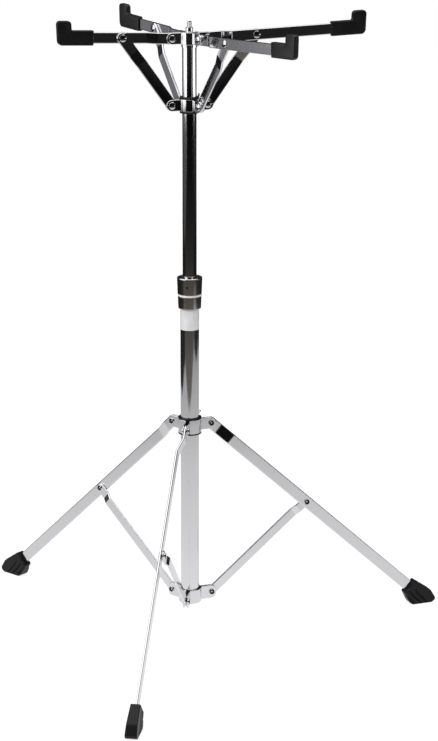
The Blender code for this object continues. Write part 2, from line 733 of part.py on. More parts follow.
def build_clutch(stand):
    """Twist-lock clutch at the top of the lower tube."""
    bore = LOWER_TUBE_RADIUS + GAP
    ring_low = CLUTCH_BASE_TOP + GAP
    ring_high = ring_low + CLUTCH_RING_HEIGHT
    nut_low = ring_high + GAP
    neck_top = CLUTCH_BASE_TOP + CLUTCH_NECK_HEIGHT
    neck_floor = LOWER_TUBE_TOP + GAP
    base = [
        (bore, CLUTCH_BASE_BOTTOM), (CLUTCH_BASE_FOOT_RADIUS - 0.0012, CLUTCH_BASE_BOTTOM),
        (CLUTCH_BASE_FOOT_RADIUS, CLUTCH_BASE_BOTTOM + 0.0012), (CLUTCH_BASE_RADIUS, CLUTCH_BASE_TOP),
        (CLUTCH_NECK_RADIUS, CLUTCH_BASE_TOP), (CLUTCH_NECK_RADIUS, neck_top), (bore, neck_top),
    ]
    place("clutch_base", turned(base), CLUTCH_CHROME, stand)

    neck = CLUTCH_NECK_RADIUS + GAP
    ring = [
        (neck, ring_low), (CLUTCH_RING_RADIUS, ring_low),
        (CLUTCH_RING_RADIUS, ring_high), (neck, ring_high),
    ]
    place("clutch_ring", turned(ring), CHROME, stand)

    shoulder = CLUTCH_NUT_TOP - CLUTCH_NUT_SHOULDER
    chamber_top = CLUTCH_NUT_TOP - CLUTCH_NUT_LIP
    cone_low = neck_top + 0.001
    collet_mouth = CLUTCH_NUT_MOUTH + 0.0008
    nut = [
        (neck, nut_low), (CLUTCH_NUT_FOOT_RADIUS, nut_low), (CLUTCH_NUT_RADIUS, shoulder),
        (CLUTCH_NUT_RADIUS - 0.0007, shoulder + 0.0014),
        ((CLUTCH_NUT_RADIUS + CLUTCH_NUT_RIM) / 2, CLUTCH_NUT_TOP - 0.0011),
        (CLUTCH_NUT_RIM, CLUTCH_NUT_TOP), (CLUTCH_NUT_MOUTH, CLUTCH_NUT_TOP),
        (CLUTCH_NUT_MOUTH, chamber_top), (collet_mouth, chamber_top), (neck - 0.0014, cone_low),
        (neck, cone_low),
    ]
    nut = place("clutch_nut", turned(nut), CLUTCH_CHROME, stand)
    dimple_height = (nut_low + shoulder) / 2
    skin = (CLUTCH_NUT_FOOT_RADIUS + CLUTCH_NUT_RADIUS) / 2
    outward = Matrix.Rotation(math.radians(90.0), 4, "Y")
    pit = turned([
        (0.0, skin - CLUTCH_DIMPLE_DEPTH), (CLUTCH_DIMPLE_RADIUS, skin - CLUTCH_DIMPLE_DEPTH),
        (CLUTCH_DIMPLE_RADIUS, skin + 0.002), (0.0, skin + 0.002),
    ], 12)
    pit = tool(
        "clutch_nut_pit", pit, stand, radial_frame(CLUTCH_DIMPLE_AZIMUTH, 0.0, dimple_height) @ outward
    )
    combine(nut, pit, "DIFFERENCE")

    collet_bore = UPPER_TUBE_RADIUS + GAP
    skirt = TUBE_INSIDE - GAP
    flange = CLUTCH_NECK_RADIUS - 0.0022
    collet = [
        (collet_bore, LOWER_TUBE_TOP - COLLET_SKIRT), (skirt, LOWER_TUBE_TOP - COLLET_SKIRT),
        (skirt, neck_floor), (flange, neck_floor), (flange, cone_low + 0.0003),
        (collet_mouth - GAP, chamber_top - GAP), (collet_bore, chamber_top - GAP),
    ]
    shape = turned(collet, ROUND, 360.0 - COLLET_SLIT, 90.0 + COLLET_SLIT / 2)
    place("clutch_collet", shape, WHITE_NYLON, stand)


def build_post(stand):
    """Guide bush, upper tube and head cap; returns the two carriers."""
    guide = empty("post_slide", stand, Matrix.Translation((0.0, 0.0, UPPER_TUBE_BOTTOM)))
    post = empty("upper_post", guide, Matrix.Translation((0.0, 0.0, -UPPER_TUBE_BOTTOM)))
    outside = TUBE_INSIDE - GAP
    bush = [
        (UPPER_TUBE_RADIUS - TUBE_WALL, -GAP - GUIDE_LIP), (outside, -GAP - GUIDE_LIP),
        (outside, GUIDE_HEIGHT), (POST_BORE, GUIDE_HEIGHT), (POST_BORE, -GAP),
        (UPPER_TUBE_RADIUS - TUBE_WALL, -GAP),
    ]
    place("guide_bush", turned(bush), WHITE_NYLON, guide)

    inside = UPPER_TUBE_RADIUS - TUBE_WALL
    tube = [
        (inside, UPPER_TUBE_BOTTOM), (UPPER_TUBE_RADIUS, UPPER_TUBE_BOTTOM),
        (UPPER_TUBE_RADIUS, UPPER_TUBE_TOP), (inside, UPPER_TUBE_TOP),
    ]
    place("upper_tube", turned(tube), CHROME, post)

    under = CAP_TOP - CAP_PLATE
    cap = [
        (0.0, under), (POST_BORE, under), (POST_BORE, CAP_TOP - CAP_DEPTH),
        (CAP_OUTSIDE, CAP_TOP - CAP_DEPTH), (CAP_OUTSIDE, CAP_TOP),
        (STUD_SHOULDER_RADIUS, CAP_TOP), (STUD_SHOULDER_RADIUS, STUD_SHOULDER_TOP),
    ]
    root = STUD_RADIUS - STUD_THREAD_DEPTH
    turns = int((STUD_LENGTH - STUD_CHAMFER) / STUD_PITCH)
    for i in range(turns):
        low = STUD_SHOULDER_TOP + i * STUD_PITCH
        cap += [(STUD_RADIUS, low), (root, low + STUD_PITCH * 0.5)]
    cap += [(STUD_RADIUS, STUD_SHOULDER_TOP + turns * STUD_PITCH), (root, STUD_TOP), (0.0, STUD_TOP)]
    place("pad_stud_cap", turned(cap, 24), CHROME, post)
    return guide, post


def add_arm_boot(name, parent, boot_start, arm_length):
    """A rubber L on the arm's outer end; parent is the arm's pivot frame."""
    low = -ARM_WIDTH / 2 - ARM_BOOT_WALL
    high = ARM_WIDTH / 2 + ARM_BOOT_WALL
    end = boot_start + ARM_BOOT_LENGTH
    top = low + ARM_BOOT_HEIGHT
    tip = end + ARM_BOOT_LEAN
    root = end + ARM_BOOT_LEAN * (high - low) / ARM_BOOT_HEIGHT - ARM_BOOT_POST
    corner = ARM_BOOT_CORNER
    outline = rounded_outline([
        (boot_start, low, 0.0015), (end, low, ARM_BOOT_HEEL), (tip, top, corner),
        (tip - ARM_BOOT_POST, top, corner), (root, high, 0.002), (boot_start, high, 0.0015),
    ], 3)
    shape = prism(outline, OUTER_PLANE - ARM_BOOT_HALF, OUTER_PLANE + ARM_BOOT_HALF)
    boot = place("arm_boot_" + name, shape, RUBBER, parent)
    soften(boot, ARM_BOOT_EDGE)
    pocket = arm_end_outline(arm_length, ARM_TAB_WIDTH, ARM_WIDTH / 2, ARM_TAB_RISE, GAP)
    pocket[0] = (boot_start - 0.005, pocket[0][1])
    pocket[-1] = (boot_start - 0.005, pocket[-1][1])
    side = STRIP / 2 + GAP
    cutter = prism(pocket, OUTER_PLANE - side, OUTER_PLANE + side)
    combine(boot, tool("arm_boot_" + name + "_pocket", cutter, parent), "DIFFERENCE")


def build_basket(post):
    """Head plates, runner, arms and braces."""
    head = empty("basket_head", post, Matrix.Translation((0.0, 0.0, ARM_PIVOT_HEIGHT)))
    runner = empty("runner", post, Matrix.Translation((0.0, 0.0, BRACE_PIVOT_HEIGHT)))
    names = ("rear", "left", "front", "right")
    outside = RUNNER_BORE + SHEET

    arm_holes = pin_holes("arm_", ARM_AZIMUTHS, head, ARM_PIVOT_RADIUS)
    head_plates = add_collar(
        "head_plate_", names, ARM_AZIMUTHS, head, HEAD_BORE, ARM_PIVOT_RADIUS,
        BASKET_EAR_REACH, BASKET_EAR_HEIGHT, BASKET_COLLAR_HEIGHT,
        {("end", name): cutter for name, cutter in arm_holes.items()},
    )
    for plate, (name, azimuth) in zip(head_plates.values(), ARM_AZIMUTHS.items()):
        frame = radial_frame(azimuth, ARM_PIVOT_RADIUS) @ ALONG_Y
        rivet = tool("arm_" + name + "_rivet", head_rivet_shape(), head, frame)
        combine(plate, rivet, "UNION")

    bush = flanged_bush(
        POST_BORE, RUNNER_BUSH_OUTSIDE, RUNNER_FLANGE_RADIUS, RUNNER_FLANGE, BASKET_COLLAR_HEIGHT
    )
    bush = place("runner_bush", bush, BLACK_NYLON, runner)
    brace_holes = pin_holes("brace_", ARM_AZIMUTHS, runner, BRACE_PIVOT_RADIUS)
    plates = add_collar(
        "runner_plate_", names, ARM_AZIMUTHS, runner, RUNNER_BORE, BRACE_PIVOT_RADIUS,
        BASKET_EAR_REACH, BASKET_EAR_HEIGHT, BASKET_COLLAR_HEIGHT, both_ends(brace_holes),
    )
    back = (ARM_AZIMUTHS["right_rear"] + ARM_AZIMUTHS["left_rear"]) / 2
    add_boss(plates["rear"], "runner", runner, back, outside)
    hole = screw_hole("runner_screw_hole", runner, back, outside + BOSS_LENGTH + 0.002)
    combine(plates["rear"], hole, "DIFFERENCE")
    combine(bush, hole, "DIFFERENCE")
    add_wing_screw(
        "runner_wing_screw", runner, back, 0.0, UPPER_TUBE_RADIUS, outside,
        RUNNER_WING_SPAN, RUNNER_WING_LEAN,
    )

    for name, azimuth in ARM_AZIMUTHS.items():
        boot_radius = LONG_BOOT_START if name in LONG_ARMS else SHORT_BOOT_START
        pivot = empty(
            "arm_" + name + "_pivot", head, radial_frame(azimuth, ARM_PIVOT_RADIUS, 0.0, -ARM_RISE)
        )
        boot_start = (boot_radius - ARM_PIVOT_RADIUS) / math.cos(ARM_RISE)
        length = boot_start + ARM_BOOT_LENGTH - ARM_BOOT_WALL - GAP
        shape = strip_shape(
            ARM_WIDTH, STRIP, length - ARM_TAB_WIDTH - 0.002,
            (ARM_JOG_START, ARM_JOG_LENGTH, 0.0, OUTER_PLANE), (True, False),
        )
        arm = place("arm_" + name, shape, CHROME, pivot)
        combine(arm, arm_holes[name], "DIFFERENCE")
        end = arm_end_outline(length, ARM_TAB_WIDTH, ARM_WIDTH / 2, ARM_TAB_RISE)
        end = prism(end, OUTER_PLANE - STRIP / 2, OUTER_PLANE + STRIP / 2)
        combine(arm, tool("arm_" + name + "_end", end, pivot), "UNION")
        add_head(arm, "arm_" + name + "_knee", pivot, ARM_KNEE, OUTER_PLANE, -1, ARM_HEAD_RADIUS)
        add_arm_boot(name, pivot, boot_start, length)

        pivot = empty(
            "brace_" + name + "_pivot", runner,
            radial_frame(azimuth, BRACE_PIVOT_RADIUS, 0.0, -BRACE_RISE),
        )
        start = BRACE_LENGTH - BRACE_JOG_START - BRACE_JOG_LENGTH
        shape = strip_shape(
            BRACE_WIDTH, STRIP, BRACE_LENGTH,
            (start, BRACE_JOG_LENGTH, 0.0, INNER_PLANE), (True, True),
        )
        brace = place("brace_" + name, shape, CHROME, pivot)
        combine(brace, brace_holes[name], "DIFFERENCE")
        add_head(
            brace, "brace_" + name + "_knee", pivot, BRACE_LENGTH, INNER_PLANE, 1, ARM_HEAD_RADIUS
        )
        place("brace_rivet_" + name, rivet_shape(ARM_HEAD_RADIUS), CHROME, runner,
              radial_frame(azimuth, BRACE_PIVOT_RADIUS) @ ALONG_Y)


def head_rivet_shape():
    """An arm's rivet along Z: seated on the anticlockwise plate, loose in the arm and the next ear."""
    seat = EAR_INSIDE + SHEET * 0.5
    upper = dome_profile(ARM_HEAD_RADIUS, HEAD_SEAT, RIVET_HEAD_HEIGHT)
    lower = [(r, -z) for r, z in reversed(dome_profile(ARM_HEAD_RADIUS, HEAD_SEAT, RIVET_HEAD_HEIGHT))]
    profile = lower + [(ARM_HEAD_RADIUS, -HEAD_SEAT), (RIVET_RADIUS, -HEAD_SEAT)]
    profile += [(RIVET_RADIUS, seat), (ARM_HEAD_RADIUS, seat)] + upper
    return turned(profile, RIVET_SIDES)


def stand_on_footprint(stand):
    """Move the whole stand so that the middle of its footprint box is the origin."""
    bpy.context.view_layer.update()
    corners = []
    for piece in bpy.data.objects:
        if piece.type == "MESH" and not piece.hide_render:
            corners += [piece.matrix_world @ vertex.co for vertex in piece.data.vertices]
    for axis in (0, 1):
        values = [corner[axis] for corner in corners]
        stand.location[axis] = -(min(values) + max(values)) / 2


def main():
    clear_scene()
    stand = empty("stand")
    build_tripod(stand)
    build_clutch(stand)
    build_basket(build_post(stand)[1])
    stand_on_footprint(stand)


main()
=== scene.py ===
"""Looks of the folding percussion stand: chromed tubes, flat bars, pressed plates and rubber boots."""
import json
import math

import bmesh
import bpy
from mathutils import Matrix, Vector


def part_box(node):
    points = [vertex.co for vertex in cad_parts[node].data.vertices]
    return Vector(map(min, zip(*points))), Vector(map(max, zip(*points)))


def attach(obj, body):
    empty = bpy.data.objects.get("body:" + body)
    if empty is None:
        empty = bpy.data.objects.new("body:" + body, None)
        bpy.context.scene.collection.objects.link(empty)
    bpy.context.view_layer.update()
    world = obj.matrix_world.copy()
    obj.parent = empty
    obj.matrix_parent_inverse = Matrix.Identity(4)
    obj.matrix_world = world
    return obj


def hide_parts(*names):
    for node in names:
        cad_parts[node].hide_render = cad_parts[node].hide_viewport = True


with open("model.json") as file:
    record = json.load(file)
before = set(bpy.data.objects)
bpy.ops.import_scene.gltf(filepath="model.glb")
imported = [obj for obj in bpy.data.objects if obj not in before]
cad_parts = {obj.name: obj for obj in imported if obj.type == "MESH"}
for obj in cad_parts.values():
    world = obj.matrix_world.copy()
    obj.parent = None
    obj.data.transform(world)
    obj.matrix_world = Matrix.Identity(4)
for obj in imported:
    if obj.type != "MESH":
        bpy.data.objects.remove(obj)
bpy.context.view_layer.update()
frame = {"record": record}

SLOT_OF = {part["node"]: part["material_slot"] for part in frame["record"]["subparts"]}
BODY_OF = {
    node: body
    for body, nodes in frame["record"]["behaviour"]["bodies"].items()
    for node in nodes
}

MM = 0.001


def node_box(node):
    low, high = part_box(node)
    return Vector(low), Vector(high)


TUBE_LOW, TUBE_HIGH = node_box("lower_tube")
AXIS = Vector(((TUBE_LOW.x + TUBE_HIGH.x) / 2, (TUBE_LOW.y + TUBE_HIGH.y) / 2, 0.0))

# Clearances
GAP = 0.3 * MM
SLIP = 0.2 * MM

# Flat bars, sheet and rivets
STRIP = 3.0 * MM
SHEET = 1.6 * MM
PIN_HOLE = 2.7 * MM
RIVET_RADIUS = 2.4 * MM
RIVET_HEAD = 1.5 * MM
LEG_HEAD_RADIUS = 4.1 * MM
ARM_HEAD_RADIUS = 4.9 * MM
BEND = 2.4 * MM
HOLLOW_RADIUS = 3.35 * MM
HOLLOW_FLOOR = 1.0 * MM
HOLLOW_DEPTH = 1.25 * MM
BAR_EDGE = 1.42 * MM
SHEET_EDGE = 0.76 * MM

EAR_INSIDE = STRIP / 2 + SLIP
EAR_OUTSIDE = EAR_INSIDE + SHEET
HEAD_SEAT = EAR_OUTSIDE + SLIP
OUTER_PLANE = -(HEAD_SEAT + RIVET_HEAD + GAP + STRIP / 2)
INNER_PLANE = OUTER_PLANE + STRIP + GAP

# Tripod
LEG_AZIMUTHS = {"front": -90.0, "right": 30.0, "left": 150.0}
LEG_SLOPE = math.radians(42.4)
LEG_WIDTH = 16.0 * MM
LEG_PIVOT = (30.3 * MM, 305.9 * MM)
LEG_TIP_HEIGHT = 11.9 * MM
LEG_KNEE = 192.9 * MM
LEG_JOG = (14.0 * MM, 24.0 * MM)
STRUT_WIDTH = 13.5 * MM
STRUT_PIVOT = (31.3 * MM, 56.8 * MM)
STRUT_JOG = (14.7 * MM, 9.2 * MM)

# Basket
ARM_AZIMUTHS = {"right_rear": 25.1, "left_rear": 134.5, "left_front": 208.4, "right_front": 315.3}
LONG_ARMS = ("right_rear", "right_front")
ARM_WIDTH = 15.0 * MM
ARM_RISE = math.radians(2.29)
ARM_PIVOT = (24.1 * MM, 837.3 * MM)
ARM_KNEE = 66.05 * MM
ARM_JOG = (18.0 * MM, 16.0 * MM)
BRACE_PIVOT = (24.65 * MM, 749.1 * MM)
BRACE_JOG = (25.0 * MM, 16.0 * MM)
LONG_BOOT_START = 192.8 * MM
SHORT_BOOT_START = 129.0 * MM
ARM_BOOT_LENGTH = 47.8 * MM
ARM_BOOT_LEAN = 2.4 * MM
ARM_BOOT_WALL = 2.3 * MM
ARM_BOOT_POST = 19.6 * MM
ARM_BOOT_HEIGHT = 32.0 * MM
ARM_TAB_WIDTH = 12.9 * MM
ARM_TAB_RISE = 10.5 * MM

# Collars: bore, pivot radius, ear reach, ear height, barrel height
LOWER_RADIUS = 12.7 * MM
UPPER_RADIUS = 9.525 * MM
TUBE_WALL = 1.2 * MM
BUSH_BORE = LOWER_RADIUS + GAP
BUSH_OUTSIDE = BUSH_BORE + 1.0 * MM
COLLAR_BORE = BUSH_OUTSIDE + GAP
POST_BORE = UPPER_RADIUS + GAP
CAP_OUTSIDE = POST_BORE + 0.78 * MM
HEAD_BORE = CAP_OUTSIDE + GAP
RUNNER_BUSH_OUTSIDE = POST_BORE + 1.1 * MM
RUNNER_BORE = RUNNER_BUSH_OUTSIDE + GAP
COLLAR_HEIGHT = 20.0 * MM
BASKET_COLLAR_HEIGHT = 16.5 * MM

LEG_LENGTH = (LEG_PIVOT[1] - LEG_TIP_HEIGHT) / math.sin(LEG_SLOPE)
KNEE = (
    LEG_PIVOT[0] + LEG_KNEE * math.cos(LEG_SLOPE),
    LEG_PIVOT[1] - LEG_KNEE * math.sin(LEG_SLOPE),
)
STRUT_RISE = math.atan2(KNEE[1] - STRUT_PIVOT[1], KNEE[0] - STRUT_PIVOT[0])
STRUT_LENGTH = math.hypot(KNEE[1] - STRUT_PIVOT[1], KNEE[0] - STRUT_PIVOT[0])
ELBOW = (
    ARM_PIVOT[0] + ARM_KNEE * math.cos(ARM_RISE),
    ARM_PIVOT[1] + ARM_KNEE * math.sin(ARM_RISE),
)
BRACE_RISE = math.atan2(ELBOW[1] - BRACE_PIVOT[1], ELBOW[0] - BRACE_PIVOT[0])
BRACE_LENGTH = math.hypot(ELBOW[1] - BRACE_PIVOT[1], ELBOW[0] - BRACE_PIVOT[0])


# Shader expressions

class Value:
    """A shader value; arithmetic on it adds Math nodes."""

    def __init__(self, tree, socket):
        self.tree = tree
        self.socket = socket

    def math(self, operation, *others, clamp=False):
        node = self.tree.nodes.new("ShaderNodeMath")
        node.operation = operation
        node.use_clamp = clamp
        for slot, value in zip(node.inputs, (self, *others)):
            if isinstance(value, Value):
                self.tree.links.new(value.socket, slot)
            else:
                slot.default_value = value
        return Value(self.tree, node.outputs[0])

    def __add__(self, other):
        return self.math("ADD", other)

    __radd__ = __add__

    def __mul__(self, other):
        return self.math("MULTIPLY", other)

    __rmul__ = __mul__

    def __sub__(self, other):
        return self.math("SUBTRACT", other)

    def __rsub__(self, other):
        return (self * -1.0) + other

    def __truediv__(self, other):
        return self.math("DIVIDE", other)

    def __pow__(self, other):
        return self.math("POWER", other)

    def clamp(self):
        return self.math("ADD", 0.0, clamp=True)

    def above(self, edge, soft):
        """0 below edge - soft, 1 above edge + soft."""
        return ((self - (edge - soft)) / (2.0 * soft)).clamp()


class Shader:
    """The nodes of one material or world."""

    def __init__(self, owner):
        owner.use_nodes = True
        self.tree = owner.node_tree

    def fill(self, slot, value):
        if isinstance(value, Value):
            self.tree.links.new(value.socket, slot)
        elif isinstance(value, tuple) and slot.type == "RGBA":
            slot.default_value = (*value, 1.0)
        else:
            slot.default_value = value

    def node(self, kind, settings=None, output=0, sockets=None, **named):
        """Add a node: its settings, then sockets by their number and sockets by their name."""
        node = self.tree.nodes.new("ShaderNode" + kind)
        for key, value in (settings or {}).items():
            if key == "stops":
                ramp = node.color_ramp.elements
                ramp[0].position, ramp[1].position = value[0][0], value[-1][0]
                for position, _colour in value[1:-1]:
                    ramp.new(position)
                for stop, (_position, colour) in zip(ramp, value):
                    stop.color = (*colour, 1.0)
            else:
                setattr(node, key, value)
        for key, value in (sockets or {}).items():
            self.fill(node.inputs[key], value)
        for key, value in named.items():
            self.fill(node.inputs[key.replace("_", " ")], value)
        return None if output is None else Value(self.tree, node.outputs[output])

    def seen(self):
        """1 for what the camera, mirrors and clear things see, 0 for the light on the object."""
        camera = self.node("LightPath", output="Is Camera Ray")
        mirror = self.node("LightPath", output="Is Glossy Ray")
        clear = self.node("LightPath", output="Is Transmission Ray")
        return (camera + mirror + clear).clamp()


class Finish(Shader):
    """One material: a Principled shader and the nodes that feed it."""

    def __init__(self, name, **settings):
        self.material = bpy.data.materials.new(name)
        super().__init__(self.material)
        self.shader = self.tree.nodes["Principled BSDF"]
        for key, value in settings.items():
            self.feed(key.replace("_", " ").title().replace("Ior", "IOR"), value)

    def feed(self, socket, value):
        self.fill(self.shader.inputs[socket], value)

    def place(self, scale=(1.0, 1.0, 1.0)):
        """Object coordinates, stretched."""
        where = self.node("TexCoord", output="Object")
        return self.node("Mapping", Vector=where, Scale=scale)

    def noise(self, scale, detail=2.0, rough=0.5, stretch=(1.0, 1.0, 1.0), distortion=0.0):
        return self.node(
            "TexNoise", Vector=self.place(stretch), Scale=scale, Detail=detail,
            Roughness=rough, Distortion=distortion,
        )

    def mix(self, first, second, share):
        return self.node("Mix", {"data_type": "RGBA"}, 2, {0: share, 6: first, 7: second})

    def bump(self, height, depth, strength=1.0):
        self.feed("Normal", self.node("Bump", Height=height, Distance=depth, Strength=strength))


def grey(level, tint=(1.0, 1.0, 1.0)):
    return tuple(level * channel for channel in tint)


def chrome(name, tone, smooth, grain, grain_depth):
    """Plated steel: faint haze and fingermarks, fine polishing lines along X, and a slight ripple."""
    finish = Finish(name, metallic=1.0)
    haze = finish.noise(28.0, 3.0, 0.6)
    marks = finish.noise(140.0, 4.0, 0.65).above(0.66, 0.06)
    lines = finish.noise(900.0, 2.0, 0.6, grain)
    finish.feed("Roughness", haze * 0.05 + marks * 0.05 + lines * 0.03 + smooth)
    dull = tuple(channel * 0.9 for channel in tone)
    finish.feed("Base Color", finish.mix(tone, dull, (haze * 0.6 + marks * 0.4).clamp()))
    ripple = finish.noise(45.0, 1.0, 0.4)
    finish.bump(ripple + lines * 0.06, grain_depth)
    return finish.material


def rubber(name, tone, rough, shine=0.5):
    """Moulded rubber: fine skin texture, dusty high spots and worn patches."""
    finish = Finish(name, specular_ior_level=shine)
    skin = finish.noise(1400.0, 3.0, 0.6)
    patches = finish.noise(60.0, 4.0, 0.6).above(0.58, 0.12)
    dust = tuple(min(1.0, channel * 1.5 + 0.002) for channel in tone)
    finish.feed("Base Color", finish.mix(tone, dust, patches * 0.5))
    finish.feed("Roughness", skin * 0.12 + patches * 0.06 + rough)
    finish.bump(skin + patches * 0.3, 0.00003)
    return finish.material


def nylon(name, tone, rough, shine=0.3):
    """Moulded nylon with a faint flow texture."""
    finish = Finish(name, specular_ior_level=shine)
    flow = finish.noise(300.0, 3.0, 0.5, (1.0, 1.0, 0.3))
    lighter = tuple(min(1.0, channel * 1.3 + 0.004) for channel in tone)
    finish.feed("Base Color", finish.mix(tone, lighter, flow.above(0.5, 0.2)))
    finish.feed("Roughness", flow * 0.2 + rough)
    finish.bump(flow, 0.00004)
    return finish.material


def foil(name, tone, metal, rough):
    """Pale brushed metal, lit more than mirroring."""
    finish = Finish(name, metallic=metal)
    brushed = finish.noise(500.0, 3.0, 0.6, (1.0, 1.0, 22.0))
    finish.feed("Base Color", finish.mix(tone, grey(0.86, tone), brushed))
    finish.feed("Roughness", brushed * 0.12 + rough)
    finish.bump(brushed, 0.00002)
    return finish.material


ALONG_BAR = (0.02, 1.0, 1.0)
ROUND_TUBE = (1.0, 1.0, 14.0)
FINISHES = {
    "tube_chrome": chrome("tube_chrome", (0.82, 0.82, 0.84), 0.03, ROUND_TUBE, 0.00001),
    "bar_chrome": chrome("bar_chrome", (0.80, 0.80, 0.82), 0.05, ALONG_BAR, 0.00004),
    "rivet_steel": chrome("rivet_steel", (0.78, 0.77, 0.78), 0.08, (1.0, 1.0, 1.0), 0.00002),
    "screw_steel": chrome("screw_steel", (0.76, 0.76, 0.78), 0.10, (1.0, 1.0, 1.0), 0.00003),
    "clutch_chrome": chrome("clutch_chrome", (0.72, 0.70, 0.68), 0.06, ROUND_TUBE, 0.00001),
    "black_nylon": nylon("black_nylon", (0.012, 0.012, 0.012), 0.40, 0.15),
    "white_nylon": nylon("white_nylon", (0.72, 0.71, 0.67), 0.45),
    "rubber": rubber("rubber", (0.0055, 0.0055, 0.006), 0.32),
}
FOOT_RUBBER = rubber("foot_rubber", (0.0055, 0.0055, 0.006), 0.34, 0.27)
FOIL = foil("band_foil", (0.90, 0.90, 0.91), 0.15, 0.26)
RING_STEEL = foil("ring_steel", (0.94, 0.92, 0.91), 0.15, 0.30)
# Painted shade: a near-black material for the walls of rivet hollows and the clutch nut's pit, where shade
# falls in the recess.
PAINTED_PIT_SHADE = nylon("painted_pit_shade", (0.010, 0.010, 0.010), 0.6, 0.15)


# Mesh building

def polar(azimuth, radius=0.0, height=0.0, pitch=0.0):
    """X points outward from the post at an azimuth in degrees, Y anticlockwise; pitch dips X."""
    turn = Matrix.Translation(AXIS) @ Matrix.Rotation(math.radians(azimuth), 4, "Z")
    return turn @ Matrix.Translation((radius, 0.0, height)) @ Matrix.Rotation(pitch, 4, "Y")


def loft(sections, wrap=False, caps=True):
    shape = bmesh.new()
    rings = [[shape.verts.new(point) for point in section] for section in sections]
    count = len(rings[0])
    pairs = list(zip(rings, rings[1:]))
    if wrap:
        pairs.append((rings[-1], rings[0]))
    for first, second in pairs:
        for i in range(count):
            j = (i + 1) % count
            shape.faces.new((first[i], first[j], second[j], second[i]))
    if caps and not wrap:
        shape.faces.new(rings[0][::-1])
        shape.faces.new(rings[-1])
    bmesh.ops.remove_doubles(shape, verts=shape.verts, dist=1e-7)
    bmesh.ops.dissolve_degenerate(shape, edges=shape.edges, dist=1e-7)
    bmesh.ops.recalc_face_normals(shape, faces=shape.faces)
    return shape


def turned(profile, sides=96, sweep=360.0, start=0.0):
    """Turn a closed (radius, height) profile about Z."""
    full = sweep >= 360.0
    steps = sides if full else round(sides * sweep / 360.0)
    sections = []
    for i in range(steps if full else steps + 1):
        angle = math.radians(start + sweep * i / steps)
        sections.append([(r * math.cos(angle), r * math.sin(angle), z) for r, z in profile])
    return loft(sections, wrap=full)


def outline(corners, steps=6):
    """A closed outline whose (x, y, radius) corners are rounded; radius 0 keeps a corner sharp."""
    points = []
    count = len(corners)
    for i, (x, y, radius) in enumerate(corners):
        here = Vector((x, y))
        if radius <= 0.0:
            points.append(here)
            continue
        before = (Vector(corners[i - 1][:2]) - here).normalized()
        after = (Vector(corners[(i + 1) % count][:2]) - here).normalized()
        half = before.angle(after) / 2
        centre = here + (before + after).normalized() * radius / math.sin(half)
        run = radius / math.tan(half)
        first = here + before * run - centre
        angle = first.angle_signed(here + after * run - centre)
        for k in range(steps + 1):
            points.append(centre + Matrix.Rotation(-angle * k / steps, 2) @ first)
    return points


def prism(points, low, high):
    """Extrude an (x, z) outline along Y."""
    return loft([[(x, low, z) for x, z in points], [(x, high, z) for x, z in points]])


def disc(radius, sides=32):
    step = 2.0 * math.pi / sides
    return [(radius * math.cos(step * i), radius * math.sin(step * i)) for i in range(sides)]


def raw(name, shape):
    mesh = bpy.data.meshes.new(name)
    shape.to_mesh(mesh)
    shape.free()
    thing = bpy.data.objects.new(name, mesh)
    bpy.context.collection.objects.link(thing)
    return thing


def bake(thing):
    """Replace an object's mesh by what its modifiers make of it."""
    graph = bpy.context.evaluated_depsgraph_get()
    mesh = bpy.data.meshes.new_from_object(thing.evaluated_get(graph))
    thing.modifiers.clear()
    old = thing.data
    thing.data = mesh
    bpy.data.meshes.remove(old)


def combine(thing, shape, operation, matrix=Matrix()):
    """Cut a shape out of an object, or join it to one, in the object's own frame."""
    other = raw("shape", shape)
    other.matrix_world = thing.matrix_world @ matrix
    step = thing.modifiers.new("join", "BOOLEAN")
    step.operation = operation
    step.solver = "EXACT"
    step.object = other
    bpy.context.view_layer.update()
    bake(thing)
    bpy.data.objects.remove(other, do_unlink=True)


def smooth(thing, angle=35.0):
    thing.data.shade_smooth()
    thing.data.set_sharp_from_angle(angle=math.radians(angle))


def round_edges(thing, width, segments=3, angle=38.0):
    step = thing.modifiers.new("edges", "BEVEL")
    step.width = width
    step.segments = segments
    step.limit_method = "ANGLE"
    step.angle_limit = math.radians(angle)
    step.use_clamp_overlap = True
    step.miter_outer = "MITER_ARC"
    bpy.context.view_layer.update()
    bake(thing)
    keep_flats(thing)


def keep_flats(thing):
    """Shade rounded edges smoothly and leave the wide faces between them flat."""
    thing.data.shade_smooth()
    thing.data.set_sharp_from_angle(angle=math.radians(60.0))
    weight = thing.modifiers.new("flat_faces", "WEIGHTED_NORMAL")
    weight.keep_sharp = True


def stand_for(thing, node):
    """Let a piece ride on a node's body, take its slot and finish, and hide the node."""
    thing.data.materials.clear()
    thing.data.materials.append(FINISHES[SLOT_OF[node]])
    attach(thing, BODY_OF[node])
    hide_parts(node)


# Flat strips

def ease(value):
    value = min(1.0, max(0.0, value))
    return value * value * (3.0 - 2.0 * value)


def strip(stations_at, thickness, edge, steps=4):
    """A flat strip with rounded edges; stations_at(inset) lists (point, normal, half width)."""
    layers = []
    for i in range(steps + 1):
        angle = 0.5 * math.pi * i / steps
        layers.append((edge * (1.0 - math.sin(angle)), edge * (1.0 - math.cos(angle)) - thickness / 2))
    layers += [(inset, -depth) for inset, depth in reversed(layers)]
    tracks = [[
        (point + normal * depth, half) for point, normal, half in stations_at(inset)
    ] for inset, depth in layers]
    sections = []
    for stations in zip(*tracks):
        section = [(point.x, point.y, half) for point, half in stations]
        sections.append(section + [(point.x, point.y, -half) for point, half in reversed(stations)])
    return loft(sections, caps=False)


JOG_PAD = 0.3 * MM


def ramp(value, bend=0.16):
    """0 to 1 along a straight slope with a short bend at each end."""
    value = min(1.0, max(0.0, value))
    slope = 1.0 / (1.0 - bend)
    if value < bend:
        return slope * value * value / (2.0 * bend)
    if value > 1.0 - bend:
        return 1.0 - slope * (1.0 - value) ** 2 / (2.0 * bend)
    return slope * (value - bend / 2.0)


